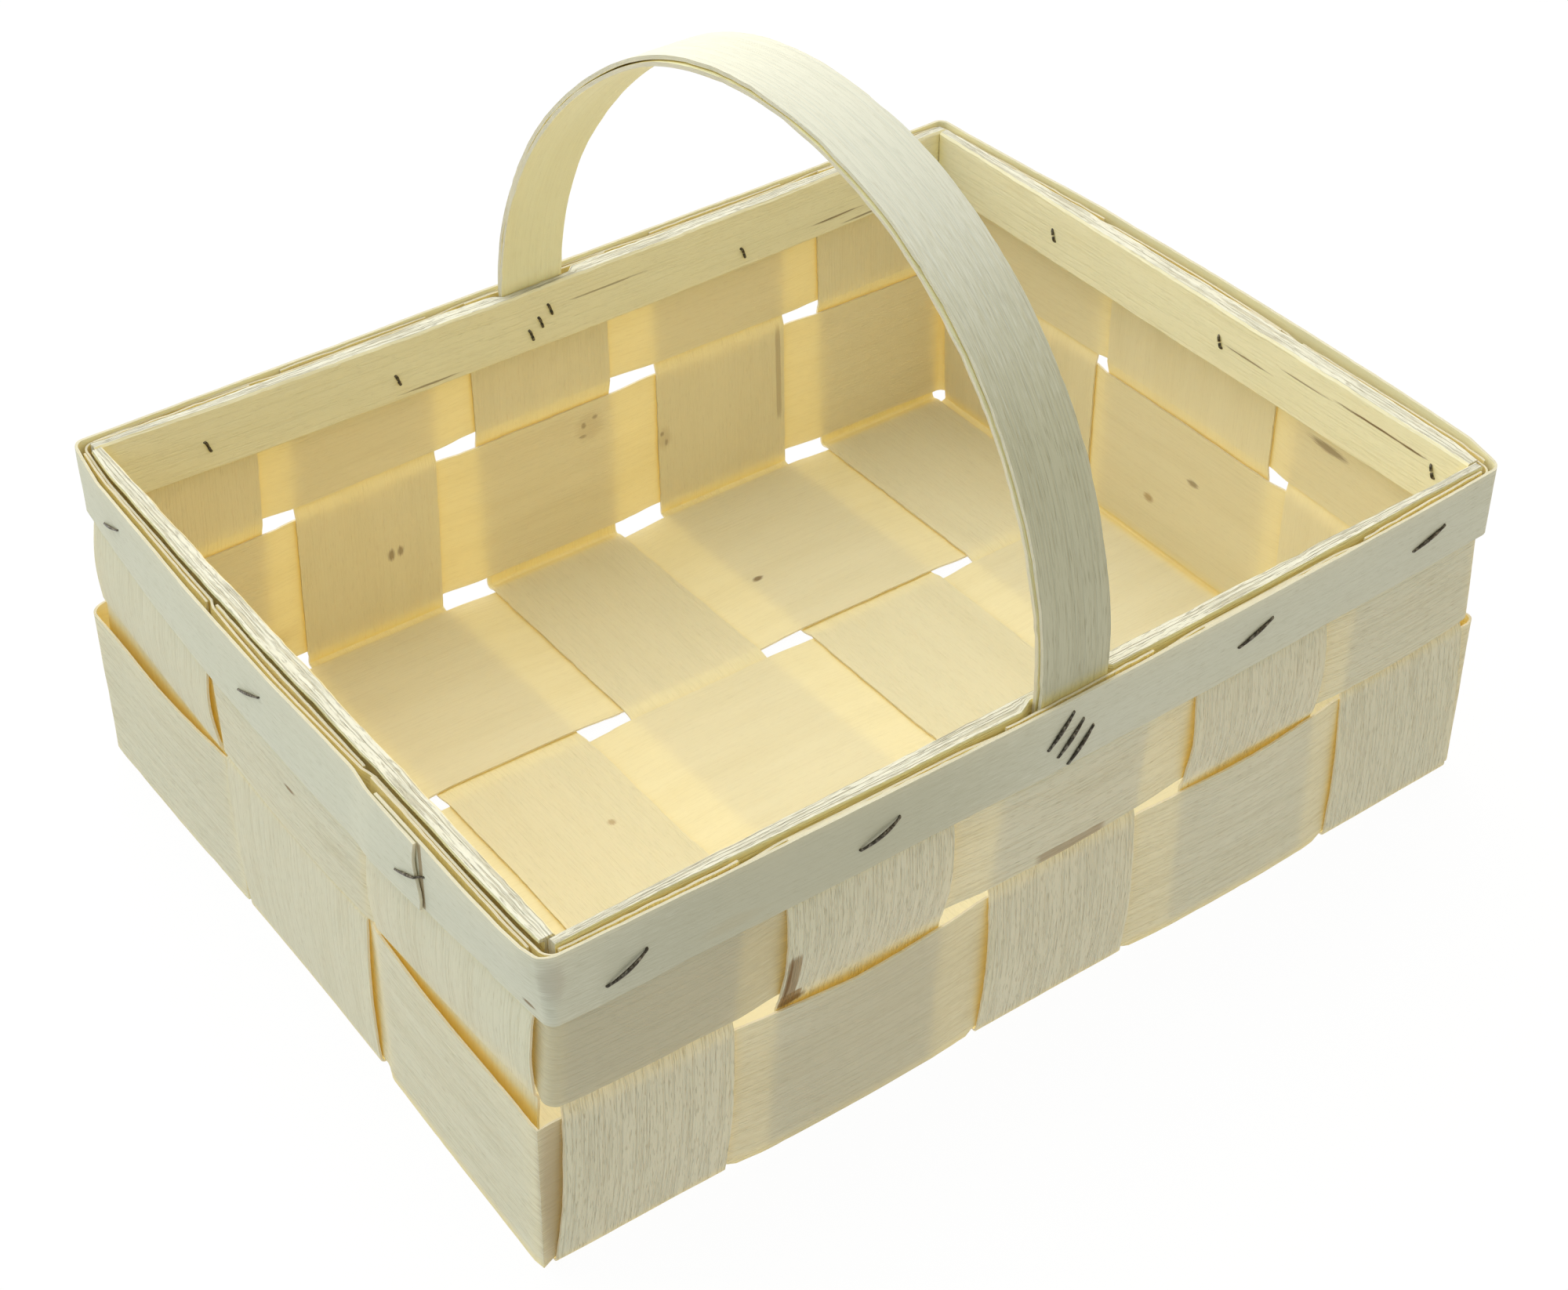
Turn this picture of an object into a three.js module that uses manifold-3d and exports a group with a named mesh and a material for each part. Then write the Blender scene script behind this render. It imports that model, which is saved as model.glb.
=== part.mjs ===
import * as THREE from 'three';
import { mergeVertices } from 'three/addons/utils/BufferGeometryUtils.js';
import Module from 'manifold-3d';

// Rectangular wood splint basket: cross strips and long strips are woven into a floor, fold up into
// walls and are tied there by two bands that weave all the way round. A thin outer hoop and four
// thicker inner strips clamp the top edge, wire staples hold them, and a fixed arched handle of two
// plies stands between the wall and the inner strips.
// Millimetres. +X runs along the long side, +Z is up, the front wall is at -Y, and the origin lies
// under the middle of the whole basket.

// Rim
const rimLength = 400;
const rimWidth = 312;
const rimHeight = 142;
const hoopThickness = 1.2;
const hoopHeight = 28;
const hoopCornerRadius = 3.5;
const hoopLap = 26;
const hoopLapRamp = 16;
const hoopEndMargin = 1.5;
const innerRimThickness = 4;
const innerRimHeight = 27;
const innerRimChamfer = 0.8;

// Woven strips and bands
const veneer = 1;
const crossCount = 5;
const longCount = 3;
const crossGap = 17;
const longGap = 11.5;
const bandGap = 7;
const topSetback = 0.8;
const cornerRadius = 4;
const foldRadius = 1.5;
const edgeEase = 0.4;
const bandSwell = 1.8;
const stripSwell = 1.4;

// How the finished basket departs from a straight box
const sideBow = 7.5;
const baseSpread = 5.3;
const bandFlare = 4.2;

// Handle
const handleWidth = 28;
const plyThickness = 1.6;
const handleSpring = 2;
const handleRise = 158.5;
const handleLean = 9.5;
const handleTail = 26;
const handleFrontPlace = -1;
const handleBackPlace = -9.7;
const slotEase = 0.35;

// Wire staples
const stapleCrown = 17.5;
const stapleWidth = 1.2;
const stapleWire = 0.7;
const stapleBend = 0.5;
const stapleTips = 5.2;
const stapleTipGap = 0.9;
const stapleSlope = THREE.MathUtils.degToRad(25);
const longWallStapleDrop = 14;
const shortWallStapleDrop = 18.5;
const endStapleShift = -13;
const backStapleShift = -8;
const leftStapleShift = -21;
const rightStapleShift = -26;
const handleStapleSlope = THREE.MathUtils.degToRad(43);
const handleStapleDrop = 15.5;
const handleStaplePitch = 5.9;

// Clearances between touching pieces
const fit = 0.3;
const wireFit = 0.25;

// How far the cutter of a wire hole runs past the two faces, and the outline points of a strip where
// it swings over to its other side, where it also turns a corner, and along the handle's arch
const overcut = 1.5;
const swingSteps = 3;
const turnSteps = 5;
const archSteps = 36;

// Sizes that follow from the ones above
const layer = (veneer + fit) / 2;
const wallHalf = veneer + fit / 2;
const halfLength = rimLength / 2 - hoopThickness - fit - wallHalf;
const halfWidth = rimWidth / 2 - hoopThickness - fit - wallHalf;
const floorMid = wallHalf;
const wallTop = rimHeight - topSetback;
const bandFoot = floorMid + foldRadius + edgeEase;
const bandHeight = (wallTop - bandFoot - bandGap) / 2;
const lowerBandTop = bandFoot + bandHeight;
const upperBandFoot = wallTop - bandHeight;
const rimFoot = rimHeight - Math.max(hoopHeight, innerRimHeight, handleTail) - 1;
const rimSeat = wallHalf + fit;
const hoopMid = rimSeat + hoopThickness / 2;
const hoopFace = rimSeat + hoopThickness;
const innerRimFace = rimSeat + innerRimThickness;
const handleStack = 2 * plyThickness + fit;
const slotBow = handleStack + fit + slotEase;

// Strips of one direction, spread evenly between the corners and numbered from the low end
function spreadStrips(count, half, gap) {
  const edge = half - cornerRadius - edgeEase;
  const width = (2 * edge - (count - 1) * gap) / count;
  return Array.from({ length: count }, (_, k) => {
    const low = -edge + k * (width + gap);
    return { number: k + 1, low, high: low + width, centre: low + width / 2 };
  });
}

const crossStrips = spreadStrips(crossCount, halfLength, crossGap);
const longStrips = spreadStrips(longCount, halfWidth, longGap);

// The weave: the face that a strip shows at its k-th crossing, counted from its front or left top
// end. Outside is +1 and inside is -1.
const crossSide = (strip, k) => ((strip + k) % 2 === 0 ? 1 : -1);
const longSide = (strip, k) => ((strip + k) % 2 === 1 ? 1 : -1);

const clamp01 = (t) => THREE.MathUtils.clamp(t, 0, 1);
const hump = (share) => Math.max(0, 1 - share ** 2);

function evenSteps(from, to, steps) {
  return Array.from({ length: steps + 1 }, (_, k) => from + ((to - from) * k) / steps);
}

// The finished side walls spread towards the base and bow out towards the top, and the front wall
// makes room for the handle. Every layer of a wall moves alike, so the layers keep their clearances.
function settleWall(point) {
  const shareX = point.x / halfLength;
  const shareY = point.y / halfWidth;
  const lift = clamp01(point.z / rimFoot);
  point.x += shareX * (baseSpread * (1 - lift) + sideBow * hump(shareY) * lift);
  point.y += Math.min(shareY, 0) * slotBow * hump(shareX) * lift ** 2;
  return point;
}

// The top edge of the lower band also stands off at the corners, where no strip holds it down
function settleLowerBand(point) {
  const corner = (point.x / halfLength) ** 8 * (point.y / halfWidth) ** 6;
  const flare = Math.sign(point.x) * bandFlare * corner * (point.z - bandFoot) / bandHeight;
  settleWall(point);
  point.x += flare;
  return point;
}

// The inner strip at the back bends inwards to make room for the handle
function settleInnerRim(point) {
  const bent = hump(point.x / (halfLength - innerRimFace));
  point.y -= Math.max(point.y / halfWidth, 0) * slotBow * bent;
  return point;
}

// Middle line of a strip seen from its side: down one wall, across the floor and up the other, with
// the outward normal. Distances along it run from the first top end.
function upturnedPath(half) {
  const wall = wallTop - floorMid - foldRadius;
  const fold = (foldRadius * Math.PI) / 2;
  const length = 2 * (wall + fold + half - foldRadius);
  const at = (distance) => {
    const far = distance > length / 2;
    const s = far ? length - distance : distance;
    const mirror = far ? -1 : 1;
    const turn = clamp01((s - wall) / fold) * (Math.PI / 2);
    const na = -Math.cos(turn);
    const nb = -Math.sin(turn);
    const a = -half + foldRadius * (1 + na) + Math.max(0, s - wall - fold);
    const b = floorMid + foldRadius * (1 + nb) + Math.max(0, wall - s);
    return { a: a * mirror, b, na: na * mirror, nb: turn < Math.PI / 2 ? nb : -1 };
  };
  const atHeight = (z, far) => (far ? length - (wallTop - z) : wallTop - z);
  const atFloor = (a) => length / 2 + a;
  return { at, atHeight, atFloor };
}

// Middle line of a loop seen from above, anticlockwise from the left end of the front wall
function loopPath(halfX, halfY, radius) {
  const runX = 2 * (halfX - radius);
  const runY = 2 * (halfY - radius);
  const arc = (radius * Math.PI) / 2;
  const length = 2 * (runX + runY) + 4 * arc;
  const at = (distance) => {
    let s = ((distance % length) + length) % length;
    let wall = 0;
    const runOf = () => (wall % 2 === 0 ? runX : runY);
    while (wall < 3 && s > runOf() + arc) {
      s -= runOf() + arc;
      wall += 1;
    }
    const quarter = (wall * Math.PI) / 2;
    const turn = quarter + Math.max(0, s - runOf()) / radius;
    const straight = Math.min(s, runOf()) - runOf() / 2;
    const reach = (wall % 2 === 0 ? halfY : halfX) - radius;
    const na = Math.sin(turn);
    const nb = -Math.cos(turn);
    const a = straight * Math.cos(quarter) + reach * Math.sin(quarter) + radius * na;
    const b = straight * Math.sin(quarter) - reach * Math.cos(quarter) + radius * nb;
    return { a, b, na, nb };
  };
  const front = (x) => x + runX / 2;
  const right = (y) => runX + arc + runY / 2 + y;
  const back = (x) => runX + runY + 2 * arc + runX / 2 - x;
  const left = (y) => 2 * runX + runY + 3 * arc + runY / 2 - y;
  return { at, front, right, back, left, length };
}

// A stretch of a strip or band stays on one side of the wall and may swell outwards. Between two
// stretches the strip swings over to the other side.
function offsetAt(stretches, s) {
  const k = stretches.findIndex((stretch) => s <= stretch.to);
  const here = stretches[k];
  if (s >= here.from || k === 0) {
    const along = clamp01((s - here.from) / (here.to - here.from));
    return here.side * layer + (here.side > 0 ? here.swell * Math.sin(Math.PI * along) : 0);
  }
  const before = stretches[k - 1];
  const t = (s - before.to) / (here.from - before.to);
  return layer * (before.side + (here.side - before.side) * t * t * (3 - 2 * t));
}

// Distances at which the outline of a strip gets a point
function stationsOf(stretches) {
  const stations = stretches.flatMap((stretch, k) => {
    const own = evenSteps(stretch.from, stretch.to, stretch.steps);
    const next = stretches[k + 1];
    if (!next) return own;
    const swing = evenSteps(stretch.to, next.from, stretch.turns ? turnSteps : swingSteps);
    return [...own, ...swing.slice(1, -1)];
  });
  return stations.filter((s, k) => k === 0 || s - stations[k - 1] > 1e-6);
}

function facePoints(path, stations, offset, halfThickness) {
  return stations.map((s) => {
    const p = path.at(s);
    const d = offset(s) + halfThickness;
    return new THREE.Vector2(p.a + p.na * d, p.b + p.nb * d);
  });
}

function moveVertices(geometry, move) {
  const position = geometry.attributes.position;
  const point = new THREE.Vector3();
  for (let k = 0; k < position.count; k += 1) {
    move(point.fromBufferAttribute(position, k));
    position.setXYZ(k, point.x, point.y, point.z);
  }
  return geometry;
}

// A strip is a box, one segment long from station to station, and a band is a ring. Their corners
// move to the outer or the inner face of the strip, at a station and a level across its width.
function ribbonGeometry(path, stations, offset, thickness, levels) {
  const runs = stations.length - 1;
  const rows = levels.length - 1;
  const outer = facePoints(path, stations, offset, thickness / 2);
  const inner = facePoints(path, stations, offset, -thickness / 2);
  const box = new THREE.BoxGeometry(runs, 1, rows, runs, 1, rows);
  return moveVertices(box, (p) => {
    const spot = (p.y < 0 ? outer : inner)[Math.round(p.x + runs / 2)];
    p.set(spot.x, spot.y, levels[Math.round(p.z + rows / 2)]);
  });
}

function ringGeometry(path, stations, offset, thickness, levels) {
  const count = stations.length;
  const outer = facePoints(path, stations, offset, thickness / 2);
  const inner = facePoints(path, stations, offset, -thickness / 2);
  const section = [
    ...levels.map((level) => ({ face: outer, level })),
    ...levels.map((level) => ({ face: inner, level })).reverse(),
  ];
  const ring = new THREE.TorusGeometry(2, 1, section.length, count);
  const position = ring.attributes.position;
  for (let k = 0; k < position.count; k += 1) {
    const { face, level } = section[Math.floor(k / (count + 1)) % section.length];
    const spot = face[(k % (count + 1)) % count];
    position.setXYZ(k, spot.x, spot.y, level);
  }
  return ring;
}

// Extrudes a shape with a slice at each of the given levels
function extrudeLevels(shape, levels) {
  const steps = levels.length - 1;
  const geometry = new THREE.ExtrudeGeometry(shape, { depth: steps, steps, bevelEnabled: false });
  return moveVertices(geometry, (p) => p.setZ(levels[Math.round(p.z)]));
}

// A profile drawn in Y and Z is extruded along X, and one drawn in X and Z along -Y
const profileYZ = (p) => p.set(p.z, p.x, p.y);
const profileXZ = (p) => p.set(p.x, -p.z, p.y);

const wasm = await Module();
wasm.setup();

function toSolid(geometry) {
  const bare = geometry.clone();
  bare.deleteAttribute('normal');
  bare.deleteAttribute('uv');
  const merged = mergeVertices(bare, 1e-5);
  const vertProperties = merged.attributes.position.array;
  const triVerts = new Uint32Array(merged.index.array);
  return new wasm.Manifold(new wasm.Mesh({ numProp: 3, vertProperties, triVerts }));
}

function toGeometry(solid) {
  const mesh = solid.getMesh();
  const geometry = new THREE.BufferGeometry();
  geometry.setAttribute('position', new THREE.BufferAttribute(mesh.vertProperties, 3));
  geometry.setIndex(new THREE.BufferAttribute(mesh.triVerts, 1));
  return geometry;
}

// Crossings of a strip that runs up two walls, from its front or left top end
function stripStretches(path, sideAt, floorStrips) {
  const wallStretches = (far, upperSide, lowerSide) => {
    const span = (top, foot, side, steps, swell) => {
      const ends = [path.atHeight(top, far), path.atHeight(foot, far)].sort((a, b) => a - b);
      return { from: ends[0], to: ends[1], side, steps, swell };
    };
    const clamped = span(wallTop, rimFoot, upperSide, 1, 0);
    const free = span(rimFoot, upperBandFoot, upperSide, 3, stripSwell);
    const lower = span(lowerBandTop, bandFoot, lowerSide, 3, stripSwell);
    return far ? [lower, free, clamped] : [clamped, free, { ...lower, turns: true }];
  };
  const floor = floorStrips.map((strip, k) => ({
    from: path.atFloor(strip.low),
    to: path.atFloor(strip.high),
    side: sideAt(k + 2),
    steps: 1,
    swell: 0,
    turns: k === floorStrips.length - 1,
  }));
  const last = floorStrips.length + 3;
  return [
    ...wallStretches(false, sideAt(0), sideAt(1)),
    ...floor,
    ...wallStretches(true, sideAt(last), sideAt(last - 1)),
  ];
}

function makeStrip(half, sideAt, floorStrips, levels, profile) {
  const path = upturnedPath(half);
  const stretches = stripStretches(path, sideAt, floorStrips);
  const offset = (s) => offsetAt(stretches, s);
  const strip = ribbonGeometry(path, stationsOf(stretches), offset, veneer, levels);
  return moveVertices(strip, (p) => settleWall(profile(p)));
}

function makeCrossStrip(strip) {
  const levels = evenSteps(strip.low, strip.high, 2);
  return makeStrip(halfWidth, (k) => crossSide(strip.number, k), longStrips, levels, profileYZ);
}

function makeLongStrip(strip) {
  const levels = evenSteps(-strip.high, -strip.low, 3);
  return makeStrip(halfLength, (k) => longSide(strip.number, k), crossStrips, levels, profileXZ);
}

// A band weaves the other way from each strip that it crosses. The row is 0 for the upper band and
// 1 for the lower one, as the strips count their crossings.
function makeBand(row, levels, swell, settle) {
  const path = loopPath(halfLength, halfWidth, cornerRadius);
  const onWall = (strips, place, sideOf, crossing) => {
    const wall = strips.map((strip) => {
      const ends = [place(strip.low), place(strip.high)].sort((a, b) => a - b);
      return { from: ends[0], to: ends[1], side: -sideOf(strip.number, crossing), steps: 3, swell };
    });
    wall.sort((a, b) => a.from - b.from);
    wall[wall.length - 1].turns = true;
    return wall;
  };
  const stretches = [
    ...onWall(crossStrips, path.front, crossSide, row),
    ...onWall(longStrips, path.right, longSide, crossCount + 3 - row),
    ...onWall(crossStrips, path.back, crossSide, longCount + 3 - row),
    ...onWall(longStrips, path.left, longSide, row),
  ];
  const first = stretches[0];
  const closing = { ...first, from: first.from + path.length, to: first.to + path.length };
  const round = [...stretches, closing];
  const stations = stationsOf(round).filter((s) => s < closing.from - 1e-6);
  const offset = (s) => offsetAt(round, s);
  return moveVertices(ringGeometry(path, stations, offset, veneer, levels), settle);
}

// The outer hoop is one thin strip that starts on the left wall, runs all the way round and laps its
// end over its start, just past the front staple of that wall
const hoopPath = loopPath(halfLength + hoopMid, halfWidth + hoopMid, hoopCornerRadius);
const seamStaplePlace = longStrips[0].centre - leftStapleShift;
const seamStapleReach = (stapleCrown / 2) * Math.cos(stapleSlope);
const hoopEndPlace = seamStaplePlace - seamStapleReach - hoopEndMargin;
const hoopStart = hoopPath.left(hoopEndPlace + hoopLap);
const hoopEnd = hoopPath.left(hoopEndPlace) + hoopPath.length;
const hoopLapFull = hoopStart + hoopPath.length - fit;

function hoopRise(s) {
  const t = clamp01((s - hoopLapFull + hoopLapRamp) / hoopLapRamp);
  return (hoopThickness + fit) * t * t * (3 - 2 * t);
}

function makeHoop() {
  const path = hoopPath;
  const cornerX = halfLength + hoopMid - hoopCornerRadius;
  const cornerY = halfWidth + hoopMid - hoopCornerRadius;
  const leftCorner = path.left(cornerY) + path.length;
  const sections = [
    [hoopStart, path.left(-cornerY), 2],
    [path.left(-cornerY), path.length + path.front(-cornerX), 4],
    [path.length + path.front(-cornerX), path.length + path.front(cornerX), 8],
    [path.length + path.front(cornerX), path.length + path.right(-cornerY), 4],
    [path.length + path.right(-cornerY), path.length + path.right(cornerY), 8],
    [path.length + path.right(cornerY), path.length + path.back(cornerX), 4],
    [path.length + path.back(cornerX), path.length + path.back(-cornerX), 2],
    [path.length + path.back(-cornerX), leftCorner, 4],
    [leftCorner, hoopLapFull - hoopLapRamp, 5],
    [hoopLapFull - hoopLapRamp, hoopLapFull, 4],
    [hoopLapFull, hoopEnd, 1],
  ];
  const stations = sections.flatMap(([from, to, steps]) => evenSteps(from, to, steps).slice(0, -1));
  const levels = [rimHeight - hoopHeight, rimHeight];
  const hoop = ribbonGeometry(path, [...stations, hoopEnd], hoopRise, hoopThickness, levels);
  return moveVertices(hoop, settleWall);
}

// Section of an inner strip against the wall on the side of the given sign
function innerRimShape(half, sign) {
  const foot = rimHeight - innerRimHeight;
  const outline = [
    [half - rimSeat, foot],
    [half - innerRimFace + innerRimChamfer, foot],
    [half - innerRimFace, foot + innerRimChamfer],
    [half - innerRimFace, rimHeight - innerRimChamfer],
    [half - innerRimFace + innerRimChamfer, rimHeight],
    [half - rimSeat, rimHeight],
  ];
  return new THREE.Shape(outline.map(([reach, z]) => new THREE.Vector2(sign * reach, z)));
}

// The front and back strips run from corner to corner, and the side strips stand between them
function makeInnerRim(sign, acrossX, slices) {
  const profile = acrossX ? profileXZ : profileYZ;
  const half = acrossX ? halfLength : halfWidth;
  const reach = acrossX ? halfWidth - innerRimFace - fit : halfLength - cornerRadius;
  const geometry = extrudeLevels(innerRimShape(half, sign), evenSteps(-reach, reach, slices));
  return moveVertices(geometry, (p) => settleInnerRim(profile(p)));
}

// The handle's outer face where it stands in front and behind, each just inside the wall
const handleReach = halfWidth - rimSeat;
const slotShare = hump((Math.abs(handleFrontPlace) + handleWidth / 2) / halfLength);
const handleFront = -handleReach - slotBow * slotShare;
const handleBack = handleReach;
const handleFoot = rimHeight - handleTail;

// Outline of a ply seen from the left end: straight tails and an arch that leans to the front
function plyShape(inset) {
  const springing = rimHeight - handleSpring;
  const middle = (handleFront + handleBack) / 2;
  const half = (handleBack - handleFront) / 2;
  const face = (depth) => {
    const arch = evenSteps(0, Math.PI, archSteps).map((t) => {
      const y = middle - half * Math.cos(t) - handleLean * Math.sin(t);
      const z = springing + handleRise * Math.sin(t);
      const rise = handleRise * Math.cos(t);
      const run = half * Math.sin(t) - handleLean * Math.cos(t);
      const inwards = new THREE.Vector2(rise, -run).setLength(depth);
      return new THREE.Vector2(y, z).add(inwards);
    });
    const frontTail = new THREE.Vector2(handleFront + depth, handleFoot);
    const backTail = new THREE.Vector2(handleBack - depth, handleFoot);
    return [frontTail, ...arch, backTail];
  };
  return new THREE.Shape([...face(inset), ...face(inset + plyThickness).reverse()]);
}

function makePly(inset) {
  const levels = [-handleWidth / 2, handleWidth / 2];
  const slant = (handleBackPlace - handleFrontPlace) / (handleBack - handleFront);
  return moveVertices(extrudeLevels(plyShape(inset), levels), (p) => {
    profileYZ(p);
    p.x += handleFrontPlace + (p.y - handleFront) * slant;
  });
}

// The walls seen from outside, each with the way to the right and the way outwards
const walls = {
  front: { right: new THREE.Vector3(1, 0, 0), outward: new THREE.Vector3(0, -1, 0), half: halfWidth },
  right: { right: new THREE.Vector3(0, 1, 0), outward: new THREE.Vector3(1, 0, 0), half: halfLength },
  back: { right: new THREE.Vector3(-1, 0, 0), outward: new THREE.Vector3(0, 1, 0), half: halfWidth },
  left: { right: new THREE.Vector3(0, -1, 0), outward: new THREE.Vector3(-1, 0, 0), half: halfLength },
};

// Distance of a layer from the middle of the basket at a spot on the wall, once it has settled
function settledReach(wall, spot, reach, settle) {
  return settle(spot.clone().addScaledVector(wall.outward, reach)).dot(wall.outward);
}

// Where the hoop is doubled, a staple lies on the outer layer
function hoopRiseAt(wall, spot) {
  if (wall !== walls.left) return 0;
  const s = hoopPath.left(spot.y);
  return hoopRise(s + hoopPath.length <= hoopEnd ? s + hoopPath.length : s);
}

// The wire's middle line, drawn with the way along the crown and the way outwards as its axes. The
// crown lies on the hoop, and the legs draw together and hook towards each other inside.
function stapleLine(wall, along, height, slope) {
  const middle = wall.right.clone().multiplyScalar(along).setZ(height);
  const across = wall.right.clone().multiplyScalar(Math.cos(slope)).setZ(Math.sin(slope));
  const clear = wireFit + stapleWire / 2;
  const corner = (u, reach, settle, gap) => {
    const spot = middle.clone().addScaledVector(across, u);
    return new THREE.Vector2(u, settledReach(wall, spot, reach, settle) + gap);
  };
  const legs = [-1, 1].map((end) => {
    const crownEnd = (end * (stapleCrown - stapleWire)) / 2;
    const spot = middle.clone().addScaledVector(across, crownEnd);
    const rise = hoopRiseAt(wall, spot);
    const crown = corner(crownEnd, wall.half + hoopFace + rise, settleWall, clear);
    const tip = corner((end * stapleTips) / 2, wall.half - innerRimFace, settleInnerRim, -clear);
    return { crown, tip, point: new THREE.Vector2((end * stapleTipGap) / 2, tip.y) };
  });
  return { middle, across, legs };
}

// A wire of the given half thickness along a line of points, drawn as a closed outline
function wireOutline(line, half) {
  const side = (sign) =>
    line.map((point, k) => {
      const before = point.clone().sub(line[Math.max(k - 1, 0)]);
      const after = line[Math.min(k + 1, line.length - 1)].clone().sub(point);
      const incoming = (k === 0 ? after : before).clone().normalize();
      const outgoing = (k === line.length - 1 ? before : after).clone().normalize();
      const bisector = incoming.clone().add(outgoing).normalize();
      const reach = half / Math.sqrt((1 + incoming.dot(outgoing)) / 2);
      return point.clone().add(new THREE.Vector2(-bisector.y, bisector.x).multiplyScalar(sign * reach));
    });
  return new THREE.Shape([...side(1), ...side(-1).reverse()]);
}

// Stands a flat outline of the staple's plane on its wall, with the given width across the plane
function placeWire(wall, line, shape, width) {
  const geometry = extrudeLevels(shape, [-width / 2, width / 2]);
  const side = line.across.clone().cross(wall.outward);
  const frame = new THREE.Matrix4().makeBasis(line.across, wall.outward, side).setPosition(line.middle);
  return geometry.applyMatrix4(frame);
}

function towards(from, to, distance) {
  return from.clone().add(to.clone().sub(from).setLength(distance));
}

function makeStaple({ wall, along, height, slope }) {
  const line = stapleLine(wall, along, height, slope);
  const [left, right] = line.legs;
  const points = [
    left.point,
    left.tip,
    towards(left.crown, left.tip, stapleBend),
    towards(left.crown, right.crown, stapleBend),
    towards(right.crown, left.crown, stapleBend),
    towards(right.crown, right.tip, stapleBend),
    right.tip,
    right.point,
  ];
  return placeWire(wall, line, wireOutline(points, stapleWire / 2), stapleWidth);
}

function stapleHoles({ wall, along, height, slope }) {
  const line = stapleLine(wall, along, height, slope);
  return line.legs.map(({ crown, tip }) => {
    const ends = [towards(crown, tip, -overcut), towards(tip, crown, -overcut)];
    const shape = wireOutline(ends, stapleWire / 2 + wireFit);
    return toSolid(placeWire(wall, line, shape, stapleWidth + 2 * wireFit));
  });
}

// One staple stands on each strip that the handle leaves free, and three on each end of the handle
function rimStaples(name, wall, strips, drop, shiftOf) {
  const sign = wall.right.x + wall.right.y;
  return strips.map((strip, k) => ({
    name: `staple_${name}_${k + 1}`,
    wall,
    along: sign * strip.centre + shiftOf(k),
    height: rimHeight - drop,
    slope: stapleSlope,
  }));
}

function handleStaples(name, wall, place) {
  return [-1, 0, 1].map((k) => ({
    name: `staple_handle_${name}_${k + 2}`,
    wall,
    along: wall.right.x * place + k * handleStaplePitch * Math.sin(handleStapleSlope),
    height: rimHeight - handleStapleDrop - k * handleStaplePitch * Math.cos(handleStapleSlope),
    slope: handleStapleSlope,
  }));
}

const besideHandle = (place) => crossStrips.filter((strip) =>
  Math.abs(strip.centre - place) > (handleWidth + stapleCrown) / 2);
const staples = [
  ...rimStaples('front', walls.front, besideHandle(handleFrontPlace), longWallStapleDrop,
    (k) => (k === 0 ? endStapleShift : 0)),
  ...rimStaples('back', walls.back, besideHandle(handleBackPlace), longWallStapleDrop,
    () => backStapleShift),
  ...rimStaples('left', walls.left, longStrips, shortWallStapleDrop, () => leftStapleShift),
  ...rimStaples('right', walls.right, longStrips, shortWallStapleDrop, () => rightStapleShift),
  ...handleStaples('front', walls.front, handleFrontPlace),
  ...handleStaples('back', walls.back, handleBackPlace),
];
const holes = staples.flatMap(stapleHoles).reduce((all, hole) => all.add(hole));
const stapled = (geometry) => toGeometry(toSolid(geometry).subtract(holes));

// Finishes
const finishes = {
  strip: { color: 0xdcc08a, roughness: 0.7, metalness: 0 },
  band: { color: 0xe3cfa4, roughness: 0.7, metalness: 0 },
  rim: { color: 0xe9dcbf, roughness: 0.75, metalness: 0 },
  handle: { color: 0xe4d3ae, roughness: 0.6, metalness: 0 },
  wire: { color: 0x77736e, roughness: 0.4, metalness: 0.9 },
};

const group = new THREE.Group();

function addPiece(name, geometry, finish) {
  const mesh = new THREE.Mesh(geometry, new THREE.MeshStandardMaterial(finishes[finish]));
  mesh.name = name;
  group.add(mesh);
}

crossStrips.forEach((strip) => {
  addPiece(`cross_strip_${strip.number}`, stapled(makeCrossStrip(strip)), 'strip');
});
longStrips.forEach((strip) => {
  addPiece(`long_strip_${strip.number}`, stapled(makeLongStrip(strip)), 'strip');
});
const upperLevels = [...evenSteps(upperBandFoot, rimFoot, 2), wallTop];
const lowerLevels = evenSteps(bandFoot, lowerBandTop, 3);
addPiece('lower_band', makeBand(1, lowerLevels, bandSwell, settleLowerBand), 'band');
addPiece('upper_band', stapled(makeBand(0, upperLevels, 0, settleWall)), 'band');
addPiece('rim_hoop', stapled(makeHoop()), 'rim');
addPiece('inner_rim_front', stapled(makeInnerRim(-1, false, 1)), 'rim');
addPiece('inner_rim_back', stapled(makeInnerRim(1, false, 12)), 'rim');
addPiece('inner_rim_left', stapled(makeInnerRim(-1, true, 1)), 'rim');
addPiece('inner_rim_right', stapled(makeInnerRim(1, true, 1)), 'rim');
addPiece('handle_outer_ply', stapled(makePly(0)), 'handle');
addPiece('handle_inner_ply', stapled(makePly(plyThickness + fit)), 'handle');
staples.forEach((staple) => {
  addPiece(staple.name, makeStaple(staple), 'wire');
});

// The front wall bows out further than the back one, so the basket is centred as a whole
const extent = new THREE.Box3().setFromObject(group);
group.position.set(-(extent.min.x + extent.max.x) / 2, -(extent.min.y + extent.max.y) / 2, 0);

export default group;
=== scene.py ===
import math
from functools import partial

import bpy
import numpy as np
from mathutils import Matrix, Vector


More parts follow.
